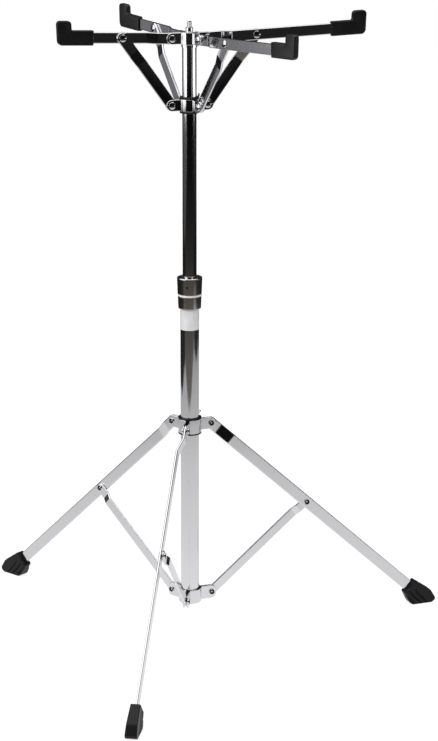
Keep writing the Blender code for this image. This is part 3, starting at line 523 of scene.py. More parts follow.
def bar(width, length, jog, ends, end_steps=12, jog_steps=19):
    """A flat bar along X; jog is (start, length, offset before, offset after)."""
    start, run, before, after = jog
    across = Vector((0.0, 1.0))

    def stations_at(inset):
        half = width / 2 - inset
        spots = [(0.0, half), (start - JOG_PAD, half)]
        spots += [(start + run * i / jog_steps, half) for i in range(jog_steps + 1)]
        spots += [(start + run + JOG_PAD, half), (length, half)]
        spots = round_end(spots, 0.0, -1.0, half, inset, ends[0], end_steps)
        spots = round_end(spots[::-1], length, 1.0, half, inset, ends[1], end_steps)[::-1]
        return [(
            Vector((along, before + (after - before) * ramp((along - start) / run))), across, reach,
        ) for along, reach in spots]

    return strip(stations_at, STRIP, BAR_EDGE)


def round_end(spots, along, hand, half, inset, rounded, steps):
    """Close the first end of a list of (along, half width) with a half circle or a square end."""
    if not rounded:
        square = along - hand * inset
        return [(square, 0.0), (square, half)] + spots[1:]
    arc = [0.5 * math.pi * i / steps for i in range(steps)]
    return [(along + hand * half * math.cos(angle), half * math.sin(angle)) for angle in arc] + spots


def domed_head(radius, base, height, rings=10):
    """Profile of a rivet's dome from its rim to its crown."""
    points = [(radius, base + 0.12 * height)]
    for i in range(1, rings + 1):
        share = math.cos(0.5 * math.pi * i / rings)
        points.append((radius * share, base + height * (0.12 + 0.88 * (1.0 - share ** 2) ** 0.75)))
    points[-1] = (0.0, base + height)
    return points


def hollow_end(radius, base, height, rings=7):
    """Profile of a semi-tubular rivet's rolled end, from its rim over the lip into the hollow."""
    crown = (radius + HOLLOW_RADIUS) / 2
    points = []
    for i in range(rings + 1):
        angle = 0.5 * math.pi * i / rings
        points.append((crown + (radius - crown) * math.cos(angle), base + height * math.sin(angle)))
    for i in range(1, rings):
        angle = 0.5 * math.pi * (1.0 - i / rings)
        level = base + height * (0.4 + 0.6 * math.sin(angle))
        points.append((crown - (crown - HOLLOW_RADIUS) * math.cos(angle), level))
    floor = base + height - HOLLOW_DEPTH
    return points + [(HOLLOW_FLOOR, floor), (0.0, floor + 0.15 * MM)]


def rivet_end(radius, base, height):
    """Legs and struts show the hollow ends of their rivets, the basket shows domes."""
    shape = hollow_end if radius == LEG_HEAD_RADIUS else domed_head
    return shape(radius, base, height)


def paint_hollow_shade(thing, spot, axis):
    """Paint shade into a rivet's hollow: its wall gets a near-black material; the axis is the one along the
    rivet.
    """
    others = [i for i in range(3) if i != axis]
    if len(thing.data.materials) < 2:
        thing.data.materials.append(PAINTED_PIT_SHADE)
    for face in thing.data.polygons:
        corners = [thing.data.vertices[i].co for i in face.vertices]
        widths = [math.hypot(*(corner[i] - spot[i] for i in others)) for corner in corners]
        near = abs(face.center[axis] - spot[axis]) < RIVET_HEAD * 1.2
        if near and min(widths) > 0.99 * HOLLOW_FLOOR and max(widths) < HOLLOW_RADIUS + 0.2 * MM:
            face.material_index = 1


ALONG_Y = Matrix.Rotation(math.radians(-90.0), 4, "X")


def finish_bar(thing, node, along, plane, facing, radius):
    """Drill a bar for its pin and form the knee rivet's head on it.

    The bar's outer part is centred on Y = plane; facing is 1 for a head on +Y, -1 for one on -Y.
    """
    combine(thing, prism(disc(PIN_HOLE, 40), -STRIP, STRIP), "DIFFERENCE")
    turn = ALONG_Y if facing > 0 else ALONG_Y.inverted()
    profile = [(0.0, -0.6 * MM), (radius, -0.6 * MM)] + rivet_end(radius, SLIP, RIVET_HEAD - SLIP)
    spot = (along, plane + facing * STRIP / 2, 0.0)
    combine(thing, turned(profile, 40), "UNION", Matrix.Translation(spot) @ turn)
    keep_flats(thing)
    stand_for(thing, node)
    # Painted shade: the wall of the knee rivet's hollow gets the near-black material.
    if radius == LEG_HEAD_RADIUS:
        paint_hollow_shade(thing, (along, plane + facing * (STRIP + RIVET_HEAD) / 2, 0.0), 1)


def make_bar(node, shape, matrix):
    thing = raw(node + "_bar", shape)
    thing.matrix_world = matrix
    bpy.context.view_layer.update()
    return thing


def rivet_profile(radius):
    upper = rivet_end(radius, HEAD_SEAT, RIVET_HEAD)
    lower = [(r, -z) for r, z in reversed(upper)]
    profile = lower + [(radius, -HEAD_SEAT), (RIVET_RADIUS, -HEAD_SEAT)]
    return profile, [(radius, HEAD_SEAT)] + upper


def make_rivet(node, azimuth, pivot, radius):
    lower, upper = rivet_profile(radius)
    thing = raw(node + "_heads", turned(lower + [(RIVET_RADIUS, HEAD_SEAT)] + upper, 48))
    thing.matrix_world = polar(azimuth, *pivot) @ ALONG_Y
    keep_flats(thing)
    stand_for(thing, node)
    if radius == LEG_HEAD_RADIUS:
        # Painted shade: the walls of the hollows at both ends get the near-black material.
        for side in (-1.0, 1.0):
            paint_hollow_shade(thing, (0.0, 0.0, side * (HEAD_SEAT + RIVET_HEAD / 2)), 2)


# Pressed plates

def plate_stations(first, last, bore, pivot, reach, ear_height, height, inset):
    """Stations of one plate from the ear at azimuth first to the ear at azimuth last."""
    middle, side = bore + SHEET / 2, EAR_INSIDE + SHEET / 2
    corner_side = side + BEND
    corner_radius = math.sqrt((middle + BEND) ** 2 - corner_side ** 2)
    corner_angle = math.atan2(corner_side, corner_radius)
    half_ear, half = ear_height / 2, height / 2
    end_steps, bend_steps = 12, 8

    def ear(azimuth, hand):
        out = Vector((math.cos(azimuth), math.sin(azimuth)))
        across = Vector((-math.sin(azimuth), math.cos(azimuth))) * hand
        corner = out * corner_radius + across * corner_side
        stations = []
        for i in range(end_steps + 1):
            angle = 0.5 * math.pi * i / end_steps
            radius = pivot + (reach - inset) * math.cos(angle)
            level = (half_ear - inset) * math.sin(angle)
            stations.append((out * radius + across * side, across, level))
        stations.append((out * (corner_radius + JOG_PAD) + across * side, across, half_ear - inset))
        stations.append((out * corner_radius + across * side, across, half_ear - inset))
        sweep = 0.5 * math.pi - corner_angle
        for i in range(1, bend_steps + 1):
            share = i / bend_steps
            spoke = -across * math.cos(sweep * share) - out * math.sin(sweep * share)
            level = half_ear + (half - half_ear) * ease(share)
            stations.append((corner + spoke * BEND, -spoke, level - inset))
        return stations

    arc_first, arc_last = first + corner_angle, last - corner_angle
    steps = max(4, math.ceil(math.degrees(arc_last - arc_first) / 4.0))
    barrel = []
    for i in range(1, steps):
        angle = arc_first + (arc_last - arc_first) * i / steps
        out = Vector((math.cos(angle), math.sin(angle)))
        barrel.append((out * middle, out, half - inset))
    return ear(first, 1.0) + barrel + ear(last, -1.0)[::-1]


def make_plates(prefix, names, azimuths, bore, pivot, reach, ear_height, height, extra=None):
    """All plates of one collar; extra(thing, name, first azimuth) may add to one."""
    order = list(azimuths)
    for i, name in enumerate(names):
        first, last = azimuths[order[i]], azimuths[order[(i + 1) % len(order)]]
        if last < first:
            last += 360.0
        ends = math.radians(first), math.radians(last)

        def stations_at(inset):
            return plate_stations(*ends, bore, pivot[0], reach, ear_height, height, inset)

        node = prefix + name
        thing = raw(node + "_pressing", strip(stations_at, SHEET, SHEET_EDGE, 3))
        thing.matrix_world = polar(0.0, 0.0, pivot[1])
        bpy.context.view_layer.update()
        for azimuth in (first, last):
            hole = prism(disc(PIN_HOLE, 40), -2.0 * EAR_OUTSIDE, 2.0 * EAR_OUTSIDE)
            turn = Matrix.Rotation(math.radians(azimuth), 4, "Z") @ Matrix.Translation((pivot[0], 0.0, 0.0))
            if extra is None or azimuth != first or not prefix.startswith("head"):
                combine(thing, hole, "DIFFERENCE", turn)
            else:
                hole.free()
        if extra:
            extra(thing, name, first, last)
        keep_flats(thing)
        stand_for(thing, node)


def make_turning(node, profile, height=0.0, sides=96, suffix="_turning", **sweep):
    thing = raw(node + suffix, turned(profile, sides, **sweep))
    thing.matrix_world = polar(0.0, 0.0, height)
    keep_flats(thing)
    stand_for(thing, node)
    return thing


def flanged_bush(node, bore, outside, flange_radius, flange, height, level):
    low, high, edge = -height / 2 - GAP, height / 2 + GAP, 0.4 * MM
    profile = [
        (bore, low - flange, edge), (flange_radius, low - flange, edge), (flange_radius, low, edge),
        (outside, low, 0.0), (outside, high, 0.0), (flange_radius, high, edge),
        (flange_radius, high + flange, edge), (bore, high + flange, edge),
    ]
    thing = raw(node + "_turning", turned(outline(profile, 3)))
    thing.matrix_world = polar(0.0, 0.0, level)
    return thing


# Wing screws and bosses

OUTWARD = Matrix.Rotation(math.radians(90.0), 4, "Y")
SCREW_RADIUS = 3.0 * MM
BOSS_RADIUS = 5.2 * MM
BOSS_LENGTH = 5.0 * MM
HUB_RADIUS = 4.6 * MM
HUB_LENGTH = 7.5 * MM
WING_THICKNESS = 2.4 * MM


def wing_side(span):
    """Half of the butterfly outline seen along Y: (across, outward, corner radius)."""
    tip = HUB_LENGTH + 6.0 * MM
    return [
        (HUB_RADIUS * 0.5, 1.5 * MM, 0.0), (span * 0.72, HUB_LENGTH * 0.55, 3.0 * MM),
        (span, HUB_LENGTH * 1.05, 1.5 * MM), (span * 0.97, tip, 1.8 * MM),
        (span * 0.66, tip, 1.8 * MM), (span * 0.42, HUB_LENGTH * 0.95, 2.0 * MM),
        (HUB_RADIUS * 0.5, HUB_LENGTH * 0.85, 0.0),
    ]


def make_wing_screw(node, azimuth, height, tube_radius, plate_outside, span, lean):
    start = tube_radius + GAP
    hub = plate_outside + BOSS_LENGTH + GAP
    profile = outline([
        (0.0, start - hub, 0.0), (SCREW_RADIUS * 0.7, start - hub, 0.0),
        (SCREW_RADIUS, start - hub + 1.0 * MM, 0.0), (SCREW_RADIUS, 0.0, 0.0),
        (HUB_RADIUS, 0.0, 0.6 * MM), (HUB_RADIUS * 0.92, HUB_LENGTH * 0.8, 1.0 * MM),
        (HUB_RADIUS * 0.55, HUB_LENGTH, 0.6 * MM), (0.0, HUB_LENGTH, 0.0),
    ], 4)
    thing = raw(node + "_casting", turned(profile, 48))
    thing.matrix_world = polar(azimuth, hub, height) @ OUTWARD
    bpy.context.view_layer.update()
    for hand in (0.0, 180.0):
        wing = raw("wing", prism(outline(wing_side(span), 5), -WING_THICKNESS / 2, WING_THICKNESS / 2))
        round_edges(wing, 0.7 * MM, 3)
        bake(wing)
        shape = bmesh.new()
        shape.from_mesh(wing.data)
        bpy.data.objects.remove(wing, do_unlink=True)
        combine(thing, shape, "UNION", Matrix.Rotation(math.radians(lean + hand), 4, "Z"))
    smooth(thing, 40.0)
    stand_for(thing, node)


def boss_for(azimuth_mean, plate_outside, bore):
    """Adds a screw boss to the rear plate of a collar."""
    def extra(thing, name, first, last):
        if name != "rear":
            return
        frame_out = Matrix.Rotation(math.radians(azimuth_mean), 4, "Z") @ OUTWARD
        twist = Matrix.Rotation(math.radians(3.0), 4, "Z")
        start, end = plate_outside - SHEET * 0.8, plate_outside + BOSS_LENGTH
        boss = turned(outline([
            (0.0, start, 0.0), (BOSS_RADIUS, start, 0.0), (BOSS_RADIUS, end, 0.5 * MM), (0.0, end, 0.0),
        ], 3), 48)
        combine(thing, boss, "UNION", frame_out @ twist)
        radius = SCREW_RADIUS + GAP
        hole = turned([(0.0, bore * 0.5), (radius, bore * 0.5), (radius, end * 1.1), (0.0, end * 1.1)], 48)
        combine(thing, hole, "DIFFERENCE", frame_out @ twist)
    return extra


# Tripod

BOOT_GRIP = 24.0 * MM
BOOT_WALL = 4.0 * MM
BOOT_MOUTH_HALF = 6.65 * MM
BOOT_SOLE_HALF = 8.45 * MM
GROOVE_DEPTH = 1.9 * MM
GROOVE_WIDTH = 1.9 * MM


def boot_corners():
    """Side outline of a foot boot from the leg's tip along the floor: (outward, height, radius)."""
    along = Vector((math.cos(LEG_SLOPE), -math.sin(LEG_SLOPE)))
    upward = Vector((math.sin(LEG_SLOPE), math.cos(LEG_SLOPE)))
    tip = Vector((0.0, LEG_TIP_HEIGHT))
    mouth = LEG_WIDTH / 2 + BOOT_WALL
    lower = tip - along * BOOT_GRIP - upward * mouth
    upper = tip - along * BOOT_GRIP + upward * mouth
    crown = tip + along * 6.5 * MM + upward * 16.3 * MM
    return [
        (lower.x, lower.y, 1.2 * MM), (upper.x, upper.y, 1.5 * MM), (crown.x, crown.y, 12.0 * MM),
        (24.8 * MM, 4.8 * MM, 4.2 * MM), (17.6 * MM, 0.0, 4.2 * MM),
        (-12.5 * MM, 0.0, 3.0 * MM), (-17.0 * MM, 3.0 * MM, 4.0 * MM),
    ]


def groove_centres(height):
    """Places of the three side grooves at a height above the sole, as distances outward."""
    rise = height / (38.0 * MM)
    sway = 26.0 * MM * rise + 5.0 * MM * math.sin(math.pi * min(1.0, rise))
    return [start * MM - sway for start in (-8.0, 2.0, 12.0)]


def make_foot_boot_mesh():
    """One boot: a soft hoof with curved grooves on both sides and a slot for the leg."""
    points = outline(boot_corners(), 6)
    rows = []
    for hand in (-1.0, 1.0):
        row = []
        for x, z in points:
            share = min(1.0, max(0.0, z / (40.0 * MM)))
            half = BOOT_SOLE_HALF + (BOOT_MOUTH_HALF - BOOT_SOLE_HALF) * share
            row.append((x, hand * half, z))
        rows.append(row)
    thing = raw("hoof", loft(rows))
    edge = thing.modifiers.new("edge", "BEVEL")
    edge.width, edge.segments = 2.2 * MM, 3
    edge.limit_method, edge.angle_limit = "ANGLE", math.radians(40.0)
    grid = thing.modifiers.new("grid", "REMESH")
    grid.mode, grid.voxel_size, grid.use_smooth_shade = "VOXEL", 0.55 * MM, True
    relax = thing.modifiers.new("relax", "SMOOTH")
    relax.iterations, relax.factor = 4, 0.5
    bpy.context.view_layer.update()
    bake(thing)
    for vertex in thing.data.vertices:
        x, y, z = vertex.co
        near = min(abs(x - centre) for centre in groove_centres(z))
        share = max(0.0, 1.0 - (near / GROOVE_WIDTH) ** 2)
        fade = ease((30.0 * MM - z) / (12.0 * MM)) * ease(z / (2.0 * MM))
        side = ease((abs(y) - 4.5 * MM) / (1.5 * MM))
        vertex.co.y = y - math.copysign(GROOVE_DEPTH * share * fade * side, y)
        vertex.co.z = max(z, 0.01 * MM)
    upright = Matrix.Rotation(LEG_SLOPE, 4, "Y")
    half = LEG_WIDTH / 2 + GAP
    slot = [(-BOOT_GRIP - 8.0 * MM, -half), (GAP, -half), (GAP, half), (-BOOT_GRIP - 8.0 * MM, half)]
    slot = prism(slot, -STRIP / 2 - GAP, STRIP / 2 + GAP)
    combine(thing, slot, "DIFFERENCE", Matrix.Translation((0.0, 0.0, LEG_TIP_HEIGHT)) @ upright)
    mesh = thing.data.copy()
    bpy.data.objects.remove(thing, do_unlink=True)
    return mesh


def make_tripod():
    boot_mesh = make_foot_boot_mesh()
    for name, azimuth in LEG_AZIMUTHS.items():
        pivot = polar(azimuth, *LEG_PIVOT, LEG_SLOPE)
        shape = bar(LEG_WIDTH, LEG_LENGTH, (*LEG_JOG, 0.0, OUTER_PLANE), (True, False))
        leg = make_bar("leg_" + name, shape, pivot)
        finish_bar(leg, "leg_" + name, LEG_KNEE, OUTER_PLANE, -1, LEG_HEAD_RADIUS)

        boot = bpy.data.objects.new("foot_boot_" + name + "_rubber", boot_mesh.copy())
        bpy.context.collection.objects.link(boot)
        tip = pivot @ Vector((LEG_LENGTH, OUTER_PLANE, 0.0))
        boot.matrix_world = (
            Matrix.Translation((tip.x, tip.y, 0.0)) @ Matrix.Rotation(math.radians(azimuth), 4, "Z")
        )
        bpy.context.view_layer.update()
        smooth(boot, 50.0)
        stand_for(boot, "foot_boot_" + name)
        boot.data.materials[0] = FOOT_RUBBER

        start = STRUT_LENGTH - sum(STRUT_JOG)
        shape = bar(STRUT_WIDTH, STRUT_LENGTH, (start, STRUT_JOG[1], 0.0, INNER_PLANE), (True, True))
        strut = make_bar("strut_" + name, shape, polar(azimuth, *STRUT_PIVOT, -STRUT_RISE))
        finish_bar(strut, "strut_" + name, STRUT_LENGTH, INNER_PLANE, 1, LEG_HEAD_RADIUS)

        make_rivet("leg_rivet_" + name, azimuth, LEG_PIVOT, LEG_HEAD_RADIUS)
        make_rivet("strut_rivet_" + name, azimuth, STRUT_PIVOT, LEG_HEAD_RADIUS)

    names, outside = ("right", "rear", "left"), COLLAR_BORE + SHEET
    back = (LEG_AZIMUTHS["right"] + LEG_AZIMUTHS["left"]) / 2
    make_plates(
        "strut_collar_plate_", names, LEG_AZIMUTHS, COLLAR_BORE, STRUT_PIVOT,
        7.2 * MM, 19.0 * MM, COLLAR_HEIGHT,
    )
    make_plates(
        "leg_collar_plate_", names, LEG_AZIMUTHS, COLLAR_BORE, LEG_PIVOT,
        7.2 * MM, 16.5 * MM, COLLAR_HEIGHT, boss_for(back, outside, COLLAR_BORE),
    )
    low, high = node_box("tube_end_cup")
    make_turning("tube_end_cup", outline([
        (0.0, low.z, 0.0), (BUSH_OUTSIDE, low.z, 0.4 * MM), (BUSH_OUTSIDE, high.z, 0.3 * MM),
        (BUSH_BORE, high.z, 0.3 * MM), (BUSH_BORE, low.z + 2.5 * MM, 0.0), (0.0, low.z + 2.5 * MM, 0.0),
    ], 3))
    bush = flanged_bush(
        "leg_collar_bush", BUSH_BORE, BUSH_OUTSIDE, 16.1 * MM, 1.4 * MM, COLLAR_HEIGHT, LEG_PIVOT[1]
    )
    drill_bush(bush, back, outside)
    stand_for(bush, "leg_collar_bush")
    make_wing_screw(
        "leg_collar_wing_screw", back, LEG_PIVOT[1], LOWER_RADIUS, outside, 14.8 * MM, 38.0
    )


def drill_bush(bush, azimuth, reach):
    bpy.context.view_layer.update()
    radius = SCREW_RADIUS + GAP
    hole = turned([(0.0, 2.0 * MM), (radius, 2.0 * MM), (radius, reach), (0.0, reach)], 48)
    turn = Matrix.Rotation(math.radians(azimuth), 4, "Z") @ OUTWARD
    combine(bush, hole, "DIFFERENCE", turn @ Matrix.Rotation(math.radians(3.0), 4, "Z"))
    keep_flats(bush)


# Post and clutch

def make_post():
    edge = 0.35 * MM
    for node, radius in (("lower_tube", LOWER_RADIUS), ("upper_tube", UPPER_RADIUS)):
        low, high = node_box(node)
        inside = radius - TUBE_WALL
        profile = outline([
            (inside, low.z, edge), (radius, low.z, edge), (radius, high.z, edge), (inside, high.z, edge),
        ], 3)
        make_turning(node, profile, sides=160, suffix="_shell")

    low, high = node_box("clutch_base")
    bottom, base_top, neck_top = low.z + 1.5 * MM, low.z + 19.1 * MM, high.z
    bore, neck = LOWER_RADIUS + GAP, 14.6 * MM
    make_turning("clutch_base", outline([
        (bore, bottom, 0.4 * MM), (15.5 * MM, bottom, 1.3 * MM), (16.1 * MM, base_top, 0.3 * MM),
        (neck, base_top, 0.0), (neck, neck_top, 0.3 * MM), (bore, neck_top, 0.3 * MM),
    ], 4), sides=160)

    low, high = (corner + Vector((0.0, 0.0, 1.5 * MM)) for corner in node_box("clutch_ring"))
    ring = make_turning("clutch_ring", outline([
        (neck + GAP, low.z, 0.0), (16.45 * MM, low.z, 0.3 * MM), (16.45 * MM, high.z, 0.3 * MM),
        (neck + GAP, high.z, 0.0),
    ], 3), sides=160)
    ring.data.materials[0] = RING_STEEL

    low, high = node_box("clutch_nut")
    foot, rim, top = low.z + 1.5 * MM, high.z - 3.2 * MM, high.z - 1.4 * MM
    mouth, chamber, cone = 10.5 * MM, top - 2.5 * MM, neck_top + 1.0 * MM
    nut = raw("clutch_nut_turning", turned(outline([
        (neck + GAP, foot, 0.0), (16.4 * MM, foot, 0.35 * MM), (17.25 * MM, rim, 1.6 * MM),
        (mouth, top, 0.5 * MM),
        (mouth, chamber, 0.0), (11.3 * MM, chamber, 0.0), (neck - 1.1 * MM, cone, 0.0),
        (neck + GAP, cone, 0.0),
    ], 5), 160))
    nut.matrix_world = polar(0.0)
    bpy.context.view_layer.update()
    pit_radius = 1.6 * MM
    pit = turned([(0.0, 15.9 * MM), (pit_radius, 15.9 * MM), (pit_radius, 19.0 * MM), (0.0, 19.0 * MM)], 32)
    pit_frame = Matrix.Rotation(math.radians(-90.7), 4, "Z")
    pit_frame = pit_frame @ Matrix.Translation((0.0, 0.0, (foot + rim) / 2 - 0.2 * MM)) @ OUTWARD
    combine(nut, pit, "DIFFERENCE", pit_frame)
    keep_flats(nut)
    stand_for(nut, "clutch_nut")
    # Painted shade: the faces of the pit's wall get the near-black material, where shade falls in the pit.
    nut.data.materials.append(PAINTED_PIT_SHADE)
    pit_spot = pit_frame @ Vector((0.0, 0.0, 17.0 * MM))
    for face in nut.data.polygons:
        radius = math.hypot(face.center.x, face.center.y)
        if (face.center - pit_spot).length < 2.1 * MM and radius < 16.55 * MM:
            face.material_index = 1

    low, high = node_box("clutch_collet")
    skirt = LOWER_RADIUS - TUBE_WALL - GAP
    shelf = TUBE_HIGH.z + GAP
    make_turning("clutch_collet", [
        (POST_BORE, low.z), (skirt, low.z), (skirt, shelf), (12.4 * MM, shelf),
        (12.4 * MM, cone + 0.3 * MM), (11.0 * MM, chamber - GAP), (POST_BORE, chamber - GAP),
    ], sweep=340.0, start=100.0)

    low, high = node_box("guide_bush")
    inside, outside = UPPER_RADIUS - TUBE_WALL, skirt
    lip = low.z + 1.2 * MM
    make_turning("guide_bush", outline([
        (inside, low.z, 0.3 * MM), (outside, low.z, 0.4 * MM), (outside, high.z, 0.4 * MM),
        (POST_BORE, high.z, 0.3 * MM), (POST_BORE, lip, 0.0), (inside, lip, 0.0),
    ], 3))

    make_band()
    make_pad_stud()


def make_band():
    """The bare foil band below the clutch."""
    low, high = 442.5 * MM, 470.5 * MM
    inside, outside = LOWER_RADIUS + 0.01 * MM, LOWER_RADIUS + 0.12 * MM
    profile = outline([
        (inside, low, 0.0), (outside, low, 0.04 * MM), (outside, high, 0.04 * MM), (inside, high, 0.0),
    ], 2)
    band = raw("bare_foil_band", turned(profile, 160))
    band.matrix_world = polar(0.0)
    keep_flats(band)
    band.data.materials.append(FOIL)
    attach(band, "base")


STUD_PITCH = 1.27 * MM
STUD_ROOT = 2.75 * MM
STUD_CREST = 3.175 * MM


def make_pad_stud():
    """Cap over the upper tube's end with its shoulder and a helical thread."""
    low, high = node_box("pad_stud_cap")
    top, shoulder_top = 844.6 * MM, 851.3 * MM
    under = top - 3.0 * MM
    edge = 0.35 * MM
    cap = raw("pad_stud_cap_turning", turned(outline([
        (0.0, under, 0.0), (POST_BORE, under, 0.0), (POST_BORE, low.z, 0.0),
        (CAP_OUTSIDE, low.z, 0.0), (CAP_OUTSIDE, top, 0.6 * MM), (4.8 * MM, top, 0.5 * MM),
        (4.8 * MM, shoulder_top, edge), (STUD_ROOT, shoulder_top, 0.0),
        (STUD_ROOT, shoulder_top + 1.0 * MM, 0.0), (0.0, shoulder_top + 1.0 * MM, 0.0),
    ], 4), 96))
    cap.matrix_world = polar(0.0)
    bpy.context.view_layer.update()
    sides, rows = 48, 56
    start = shoulder_top + 0.4 * MM
    sections = []
    for i in range(rows + 1):
        z = start + (high.z - start) * i / rows
        fade = min(1.0, (high.z - z) / (1.1 * MM), (z - start) / (0.8 * MM))
        ring = []
        for k in range(sides):
            angle = 2.0 * math.pi * k / sides
            turn = ((z - start) / STUD_PITCH - k / sides) % 1.0
            ridge = 1.0 - abs(2.0 * turn - 1.0)
            radius = STUD_ROOT + (STUD_CREST - STUD_ROOT) * min(1.0, ridge * 1.25) * max(0.0, fade)
            ring.append((radius * math.cos(angle), radius * math.sin(angle), z))
        sections.append(ring)
    combine(cap, loft(sections), "UNION")
    keep_flats(cap)
    stand_for(cap, "pad_stud_cap")


# Basket

def arm_end(length, slack=0.0):
    """Outline of the outer end of an arm with its upturned tab, which leans outward."""
    tab, half = length - ARM_TAB_WIDTH, ARM_WIDTH / 2
    top, lean = half + ARM_TAB_RISE + slack, ARM_BOOT_LEAN / ARM_BOOT_HEIGHT
    return [Vector(point) for point in (
        (tab - 20.0 * MM, -half - slack), (length + slack, -half - slack),
        (length + slack + lean * (top + half), top), (tab - slack + lean * (top - half), top),
        (tab - slack, half + slack), (tab - 20.0 * MM, half + slack),
    )]


def make_arm_boot(name, pivot, start):
    low, high = -ARM_WIDTH / 2 - ARM_BOOT_WALL, ARM_WIDTH / 2 + ARM_BOOT_WALL
    end, corner = start + ARM_BOOT_LENGTH, 4.8 * MM
    top = low + ARM_BOOT_HEIGHT - 0.3 * MM
    tip = end + ARM_BOOT_LEAN
    root = end + ARM_BOOT_LEAN * (high - low) / ARM_BOOT_HEIGHT - ARM_BOOT_POST
    points = outline([
        (start, low, 1.5 * MM), (end, low, 6.5 * MM), (tip, top, corner),
        (tip - ARM_BOOT_POST, top, corner), (root, high, 2.0 * MM), (start, high, 1.5 * MM),
    ], 8)
    half = STRIP / 2 + ARM_BOOT_WALL
    boot = raw("arm_boot_" + name + "_rubber", prism(points, OUTER_PLANE - half, OUTER_PLANE + half))
    boot.matrix_world = pivot
    round_edges(boot, 1.9 * MM, 5, 50.0)
    bake(boot)
    pocket = arm_end(end - ARM_BOOT_WALL - GAP, GAP)
    pocket[0].x = pocket[-1].x = start - 5.0 * MM
    side = STRIP / 2 + GAP
    combine(boot, prism(pocket, OUTER_PLANE - side, OUTER_PLANE + side), "DIFFERENCE")
    smooth(boot, 45.0)
    stand_for(boot, "arm_boot_" + name)


def head_rivet(thing, name, first, last):
    """The arm's rivet, formed on the plate that starts at that arm."""
    lower, upper = rivet_profile(ARM_HEAD_RADIUS)
    seat = EAR_INSIDE + SHEET * 0.5
    profile = lower + [(RIVET_RADIUS, seat), (ARM_HEAD_RADIUS, seat)] + upper[1:]
    turn = Matrix.Rotation(math.radians(first), 4, "Z") @ Matrix.Translation((ARM_PIVOT[0], 0.0, 0.0))
    combine(thing, turned(profile, 48), "UNION", turn @ ALONG_Y)


def make_basket():
    for name, azimuth in ARM_AZIMUTHS.items():
        radius = LONG_BOOT_START if name in LONG_ARMS else SHORT_BOOT_START
        start = (radius - ARM_PIVOT[0]) / math.cos(ARM_RISE)
        length = start + ARM_BOOT_LENGTH - ARM_BOOT_WALL - GAP
        pivot = polar(azimuth, *ARM_PIVOT, -ARM_RISE)
        straight = length - ARM_TAB_WIDTH - 2.0 * MM
        shape = bar(ARM_WIDTH, straight, (*ARM_JOG, 0.0, OUTER_PLANE), (True, False))
        arm = make_bar("arm_" + name, shape, pivot)
        end = prism(arm_end(length), OUTER_PLANE - STRIP / 2, OUTER_PLANE + STRIP / 2)
        combine(arm, end, "UNION")
        finish_bar(arm, "arm_" + name, ARM_KNEE, OUTER_PLANE, -1, ARM_HEAD_RADIUS)
        make_arm_boot(name, pivot, start)

        begin = BRACE_LENGTH - sum(BRACE_JOG)
        shape = bar(ARM_WIDTH, BRACE_LENGTH, (begin, BRACE_JOG[1], 0.0, INNER_PLANE), (True, True))
        brace = make_bar("brace_" + name, shape, polar(azimuth, *BRACE_PIVOT, -BRACE_RISE))
        finish_bar(brace, "brace_" + name, BRACE_LENGTH, INNER_PLANE, 1, ARM_HEAD_RADIUS)
        make_rivet("brace_rivet_" + name, azimuth, BRACE_PIVOT, ARM_HEAD_RADIUS)

    names, outside = ("rear", "left", "front", "right"), RUNNER_BORE + SHEET
    back = (ARM_AZIMUTHS["right_rear"] + ARM_AZIMUTHS["left_rear"]) / 2
    make_plates(
        "head_plate_", names, ARM_AZIMUTHS, HEAD_BORE, ARM_PIVOT, 7.5 * MM, 15.0 * MM,
        BASKET_COLLAR_HEIGHT, head_rivet,
    )
    make_plates(
        "runner_plate_", names, ARM_AZIMUTHS, RUNNER_BORE, BRACE_PIVOT, 7.5 * MM, 15.0 * MM,
        BASKET_COLLAR_HEIGHT, boss_for(back, outside, RUNNER_BORE),
    )
    bush = flanged_bush(
        "runner_bush", POST_BORE, RUNNER_BUSH_OUTSIDE, 13.0 * MM, 2.2 * MM,
        BASKET_COLLAR_HEIGHT, BRACE_PIVOT[1],
    )
    drill_bush(bush, back, outside)
    stand_for(bush, "runner_bush")
    make_wing_screw(
        "runner_wing_screw", back, BRACE_PIVOT[1], UPPER_RADIUS, outside, 11.5 * MM, 12.0
    )


# Studio

VIEW_TURN = 9.82            # degrees from the front leg's plane to the camera's
CAMERA_SIDE = 40.14 * MM
CAMERA_DISTANCE = 3.0557
CAMERA_HEIGHT = 1.2403
CAMERA_PITCH = 16.481
CAMERA_ROLL = 0.133
FOCAL_PIXELS = 2316.3
FRAME_HEIGHT = 741
PRINCIPAL_ROW = 403.44


def in_view_frame(x, y, z=0.0):
    """A point given to the right of the post, behind it and above the floor, as the camera sees it."""
    return Matrix.Translation(AXIS) @ Matrix.Rotation(math.radians(VIEW_TURN), 4, "Z") @ Vector((x, y, z))


def make_camera():
    data = bpy.data.cameras.new("camera")
    camera = bpy.data.objects.new("camera", data)
    bpy.context.collection.objects.link(camera)
    data.sensor_fit = "AUTO"
    data.sensor_width = 36.0
    data.lens = FOCAL_PIXELS * data.sensor_width / FRAME_HEIGHT
    data.shift_y = (PRINCIPAL_ROW - FRAME_HEIGHT / 2) / FRAME_HEIGHT
    data.clip_start, data.clip_end = 0.1, 100.0
    turn = Matrix.Rotation(math.radians(VIEW_TURN), 4, "Z")
    pitch = Matrix.Rotation(math.radians(90.0 - CAMERA_PITCH), 4, "X")
    roll = Matrix.Rotation(math.radians(CAMERA_ROLL), 4, "Z")
    place = Matrix.Translation(in_view_frame(CAMERA_SIDE, -CAMERA_DISTANCE, CAMERA_HEIGHT))
    camera.matrix_world = place @ turn @ pitch @ roll
    bpy.context.scene.camera = camera


